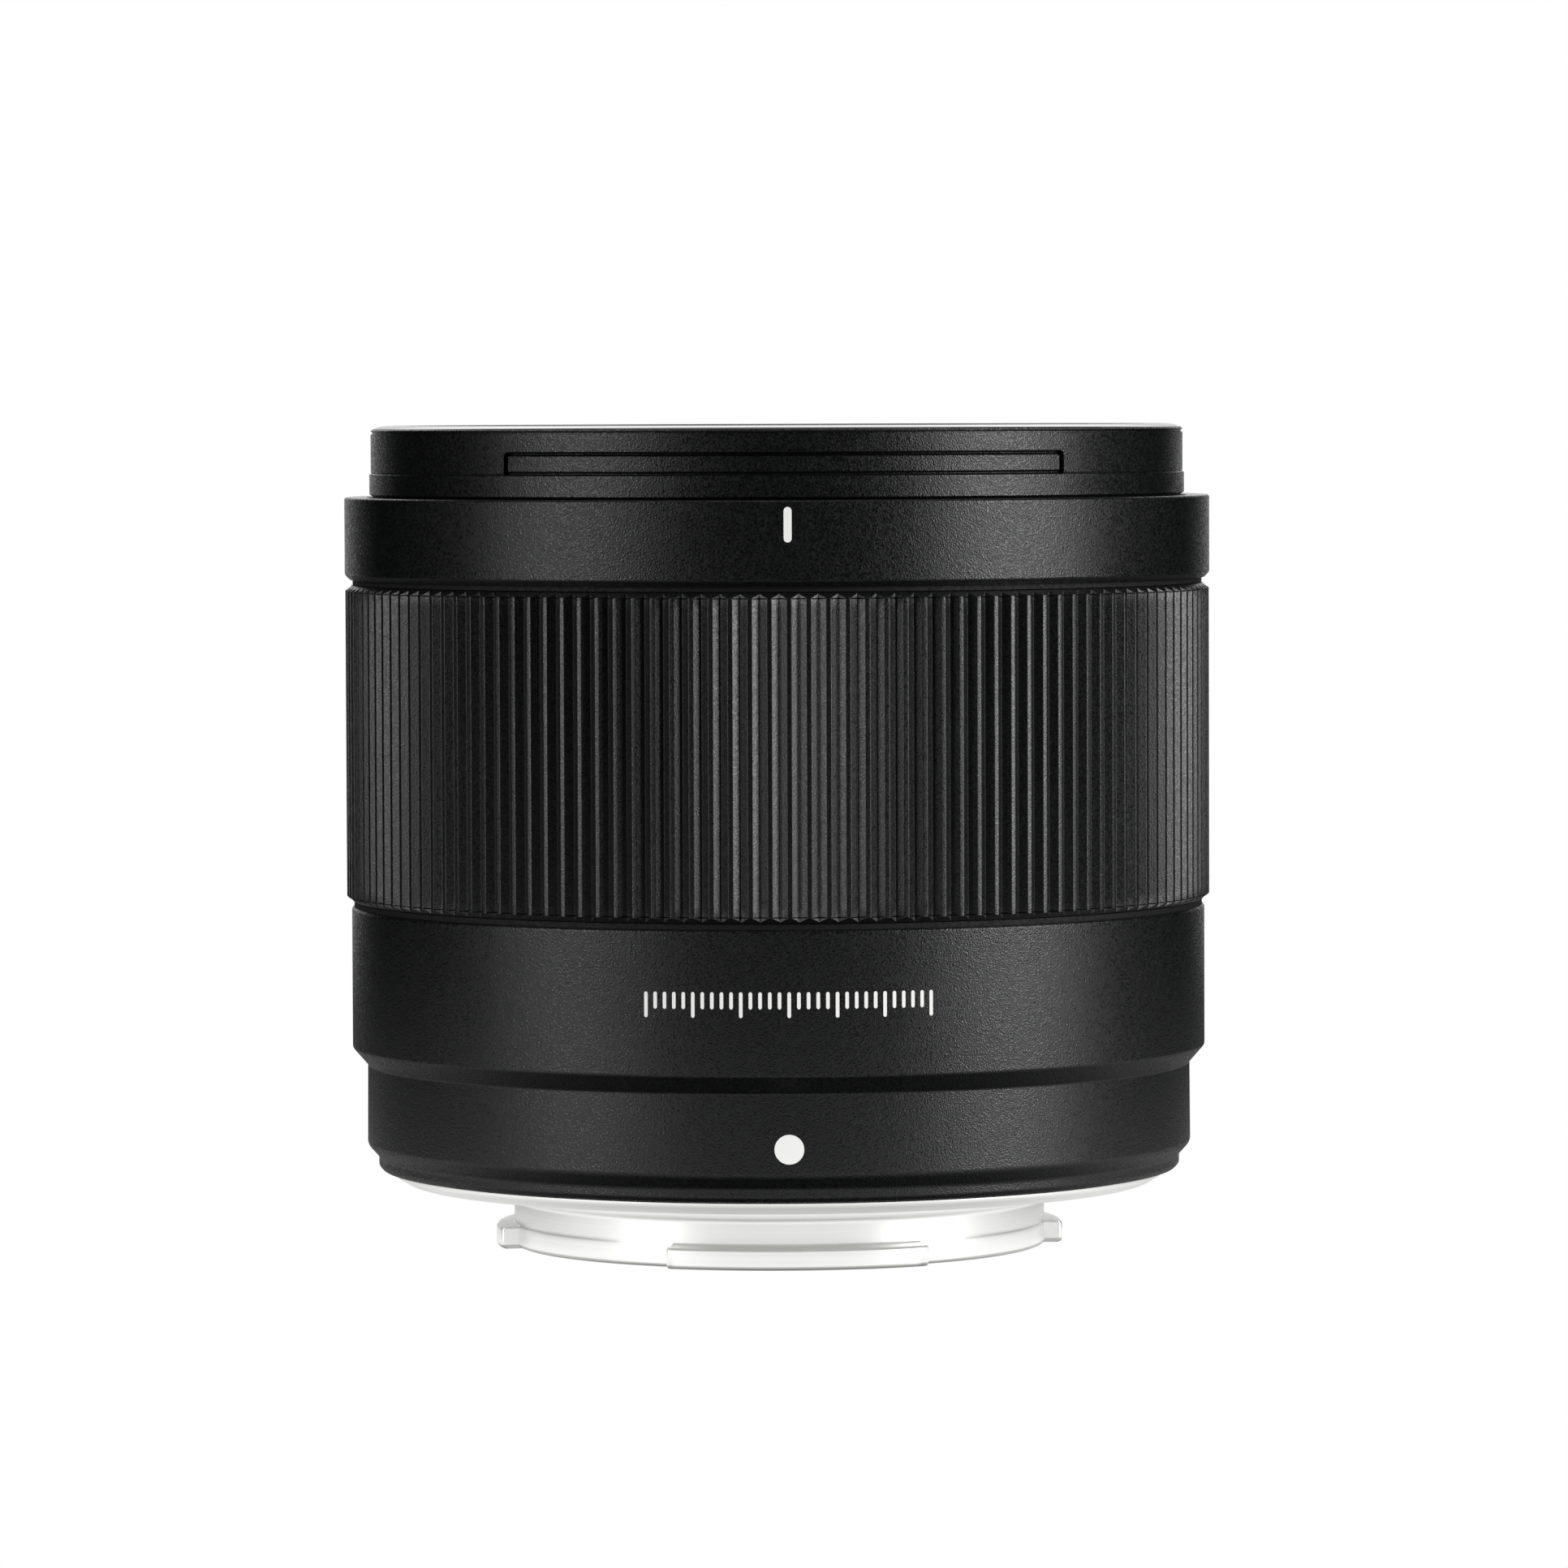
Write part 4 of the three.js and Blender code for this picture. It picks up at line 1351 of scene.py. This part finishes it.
def makeLight(name, shape, size, power, place):
    light = bpy.data.lights.new(name, "AREA")
    light.shape = shape
    light.size = size
    light.energy = power
    holder = placed(name, light)
    holder.location = place
    return holder


def aimLight(holder):
    aim = Vector((0, 0, 0.04)) - holder.location
    holder.rotation_euler = aim.to_track_quat("-Z", "Y").to_euler()


def makeSoftbox(name, azimuth, power, spec):
    angle = marksAngle + math.radians(azimuth)
    reach = spec["distance"]
    place = (reach * math.cos(angle), reach * math.sin(angle), spec["boxCentre"])
    holder = makeLight(name, "RECTANGLE", spec["boxWidth"], power, place)
    holder.data.size_y = spec["boxHeight"]
    aimLight(holder)


def makeMountFill(spec, names):
    # a low reflector in front, for the bright metal only
    holder = makeLight("mountFill", "DISK", spec["fillRadius"] * 2, spec["fillPower"],
                       (0, -spec["fillForward"], 0.0003))
    holder.rotation_euler = (math.pi, 0, 0)
    holder.visible_camera = False
    receivers = bpy.data.collections.new("mountFillReceivers")
    for name in names:
        receivers.objects.link(bpy.data.objects[name])
    holder.light_linking.receiver_collection = receivers


soft = {"interpolation_type": "SMOOTHSTEP"}


def paperOrLight(tree, kind, strength):
    # plain white paper as the camera sees it, and a light of this strength for everything else
    white = {"Color": hexColour("ffffff")}
    light = addNode(tree, kind, values=white, links={"Strength": strength})
    paper = addNode(tree, kind, values={**white, "Strength": 1.0})
    seen = addNode(tree, "ShaderNodeLightPath").outputs["Is Camera Ray"]
    links = {0: seen, 1: light.outputs[0], 2: paper.outputs[0]}
    return addNode(tree, "ShaderNodeMixShader", links=links).outputs["Shader"]


def makeWorld(spec):
    world = bpy.data.worlds.new("studio")
    bpy.context.scene.world = world
    world.use_nodes = True
    tree = world.node_tree
    tree.nodes.clear()
    place = addNode(tree, "ShaderNodeTexCoord").outputs["Generated"]
    parts = addNode(tree, "ShaderNodeSeparateXYZ", links={"Vector": place})
    # a bright wall behind the lens, brighter high up
    level = addNode(tree, "ShaderNodeCombineXYZ", links={axis: parts.outputs[axis] for axis in "XY"})
    flat = addNode(tree, "ShaderNodeVectorMath", {"operation": "NORMALIZE"},
                   links={0: level.outputs["Vector"]})
    around = addNode(tree, "ShaderNodeSeparateXYZ", links={"Vector": flat.outputs["Vector"]})
    wall = addNode(tree, "ShaderNodeMapRange", soft, fromTo(spec["wallEdge"]),
                   {"Value": around.outputs["Y"]})
    lightRange = (spec["wallLight"], spec["wallLight"] + spec["skyLight"])
    height = addNode(tree, "ShaderNodeMapRange", soft, fromTo(spec["skyHeights"], lightRange),
                     {"Value": parts.outputs["Z"]})
    lit = addNode(tree, "ShaderNodeMath", {"operation": "MULTIPLY"},
                  links={0: wall.outputs["Result"], 1: height.outputs["Result"]})
    # straight above it fades into an even ceiling
    above = addNode(tree, "ShaderNodeMapRange", soft, fromTo(spec["ceilingHeights"]),
                    {"Value": parts.outputs["Z"]})
    glow = addNode(tree, "ShaderNodeMix", {"data_type": "FLOAT"}, {3: spec["ceilingLight"]},
                   {0: above.outputs["Result"], 2: lit.outputs["Value"]})
    addNode(tree, "ShaderNodeOutputWorld", links={
        "Surface": paperOrLight(tree, "ShaderNodeBackground", glow.outputs[0]),
    })


def makeFloor(spec):
    radius = spec["floorRadius"]
    build = bmesh.new()
    rings = [[build.verts.new((r * math.cos(a), r * math.sin(a), 0)) for a in evenAngles(96)]
             for r in (radius, radius * 0.5, radius * 0.15)]
    for outer, inner in zip(rings, rings[1:]):
        for i in range(96):
            k = (i + 1) % 96
            build.faces.new((outer[i], outer[k], inner[k], inner[i]))
    build.faces.new(rings[-1])
    mesh = bpy.data.meshes.new("studioFloor")
    build.to_mesh(mesh)
    build.free()
    material = bpy.data.materials.new("paperSweepMatt")
    material.use_nodes = True
    tree = material.node_tree
    tree.nodes.clear()
    # lit paper that fades into the room, brightest in front of the lens and at a low angle
    place = addNode(tree, "ShaderNodeTexCoord").outputs["Object"]
    reach = addNode(tree, "ShaderNodeVectorMath", {"operation": "LENGTH"}, links={0: place})
    fadeEdge = [edge * mm for edge in spec["floorFadeMm"]]
    fade = addNode(tree, "ShaderNodeMapRange", soft, fromTo(fadeEdge, (spec["floorGlow"], 0.0)),
                   {"Value": reach.outputs["Value"]})
    parts = addNode(tree, "ShaderNodeSeparateXYZ", links={"Vector": place})
    front = addNode(tree, "ShaderNodeMapRange", soft,
                    fromTo(spec["floorFront"], (1.0, spec["sideShare"])), {"Value": parts.outputs["Y"]})
    facing = addNode(tree, "ShaderNodeLayerWeight", values={"Blend": 0.5}).outputs["Facing"]
    grazing = addNode(tree, "ShaderNodeMath", {"operation": "POWER"}, {1: spec["floorGrazing"]},
                      {0: facing})
    lit = fade.outputs["Result"]
    for factor in (front.outputs["Result"], grazing.outputs["Value"]):
        lit = addNode(tree, "ShaderNodeMath", {"operation": "MULTIPLY"},
                      links={0: lit, 1: factor}).outputs["Value"]
    # nothing is seen of the paper from below
    oneSided = addNode(tree, "ShaderNodeMixShader", links={
        0: addNode(tree, "ShaderNodeNewGeometry").outputs["Backfacing"],
        1: paperOrLight(tree, "ShaderNodeEmission", lit),
        2: addNode(tree, "ShaderNodeBsdfTransparent").outputs["BSDF"],
    })
    addNode(tree, "ShaderNodeOutputMaterial", links={"Surface": oneSided.outputs["Shader"]})
    mesh.materials.append(material)
    placed("studioFloor", mesh)


# Remaining nodes keep their own shape and get a finish

finishes = {
    "focus_encoder_comb": plasticTextured,
    "focus_slide_ring_front": acetalMoulded,
    "focus_slide_ring_rear": acetalMoulded,
    "iris_drive_ring": plasticTextured,
    "iris_pinion": brassTurned,
    "focus_sensor": epoxyMoulded,
}
finishes.update({f"iris_blade_{i}": steelLacquered for i in range(1, 8)})


def dressNodes(table):
    for node, material in table.items():
        mesh = nodes[node].data
        mesh.materials.clear()
        mesh.materials.append(material)


makeFilterRing(filterRing)
makeCoverRing(coverRing)
makeIndexRing(indexRing)
makeFocusRing(focusRing)
makeRearBarrel(rearBarrel)
makeBayonet(bayonet)
makeMountScrews(screw)
makeBaffle(baffle)
makeContacts(contacts)
makeElements(elements)
makeCells()
makeCarriers(carriers)
makeCarriage(carriers)
makeDrive(drive, carriers)
makeBoard(board)
makeFlex()
dressNodes(finishes)
print("pieces ready")

makeSoftbox("leftSoftbox", studio["leftAzimuth"], studio["leftPower"], studio)
makeSoftbox("rightSoftbox", studio["rightAzimuth"], studio["rightPower"], studio)
aimLight(makeLight("topSoftbox", "DISK", studio["topSize"], studio["topPower"], studio["topPlace"]))
makeMountFill(studio, ["bayonetMount"])
makeWorld(studio)
makeFloor(studio)
bpy.context.scene.view_settings.view_transform = "Standard"
print("studio ready")
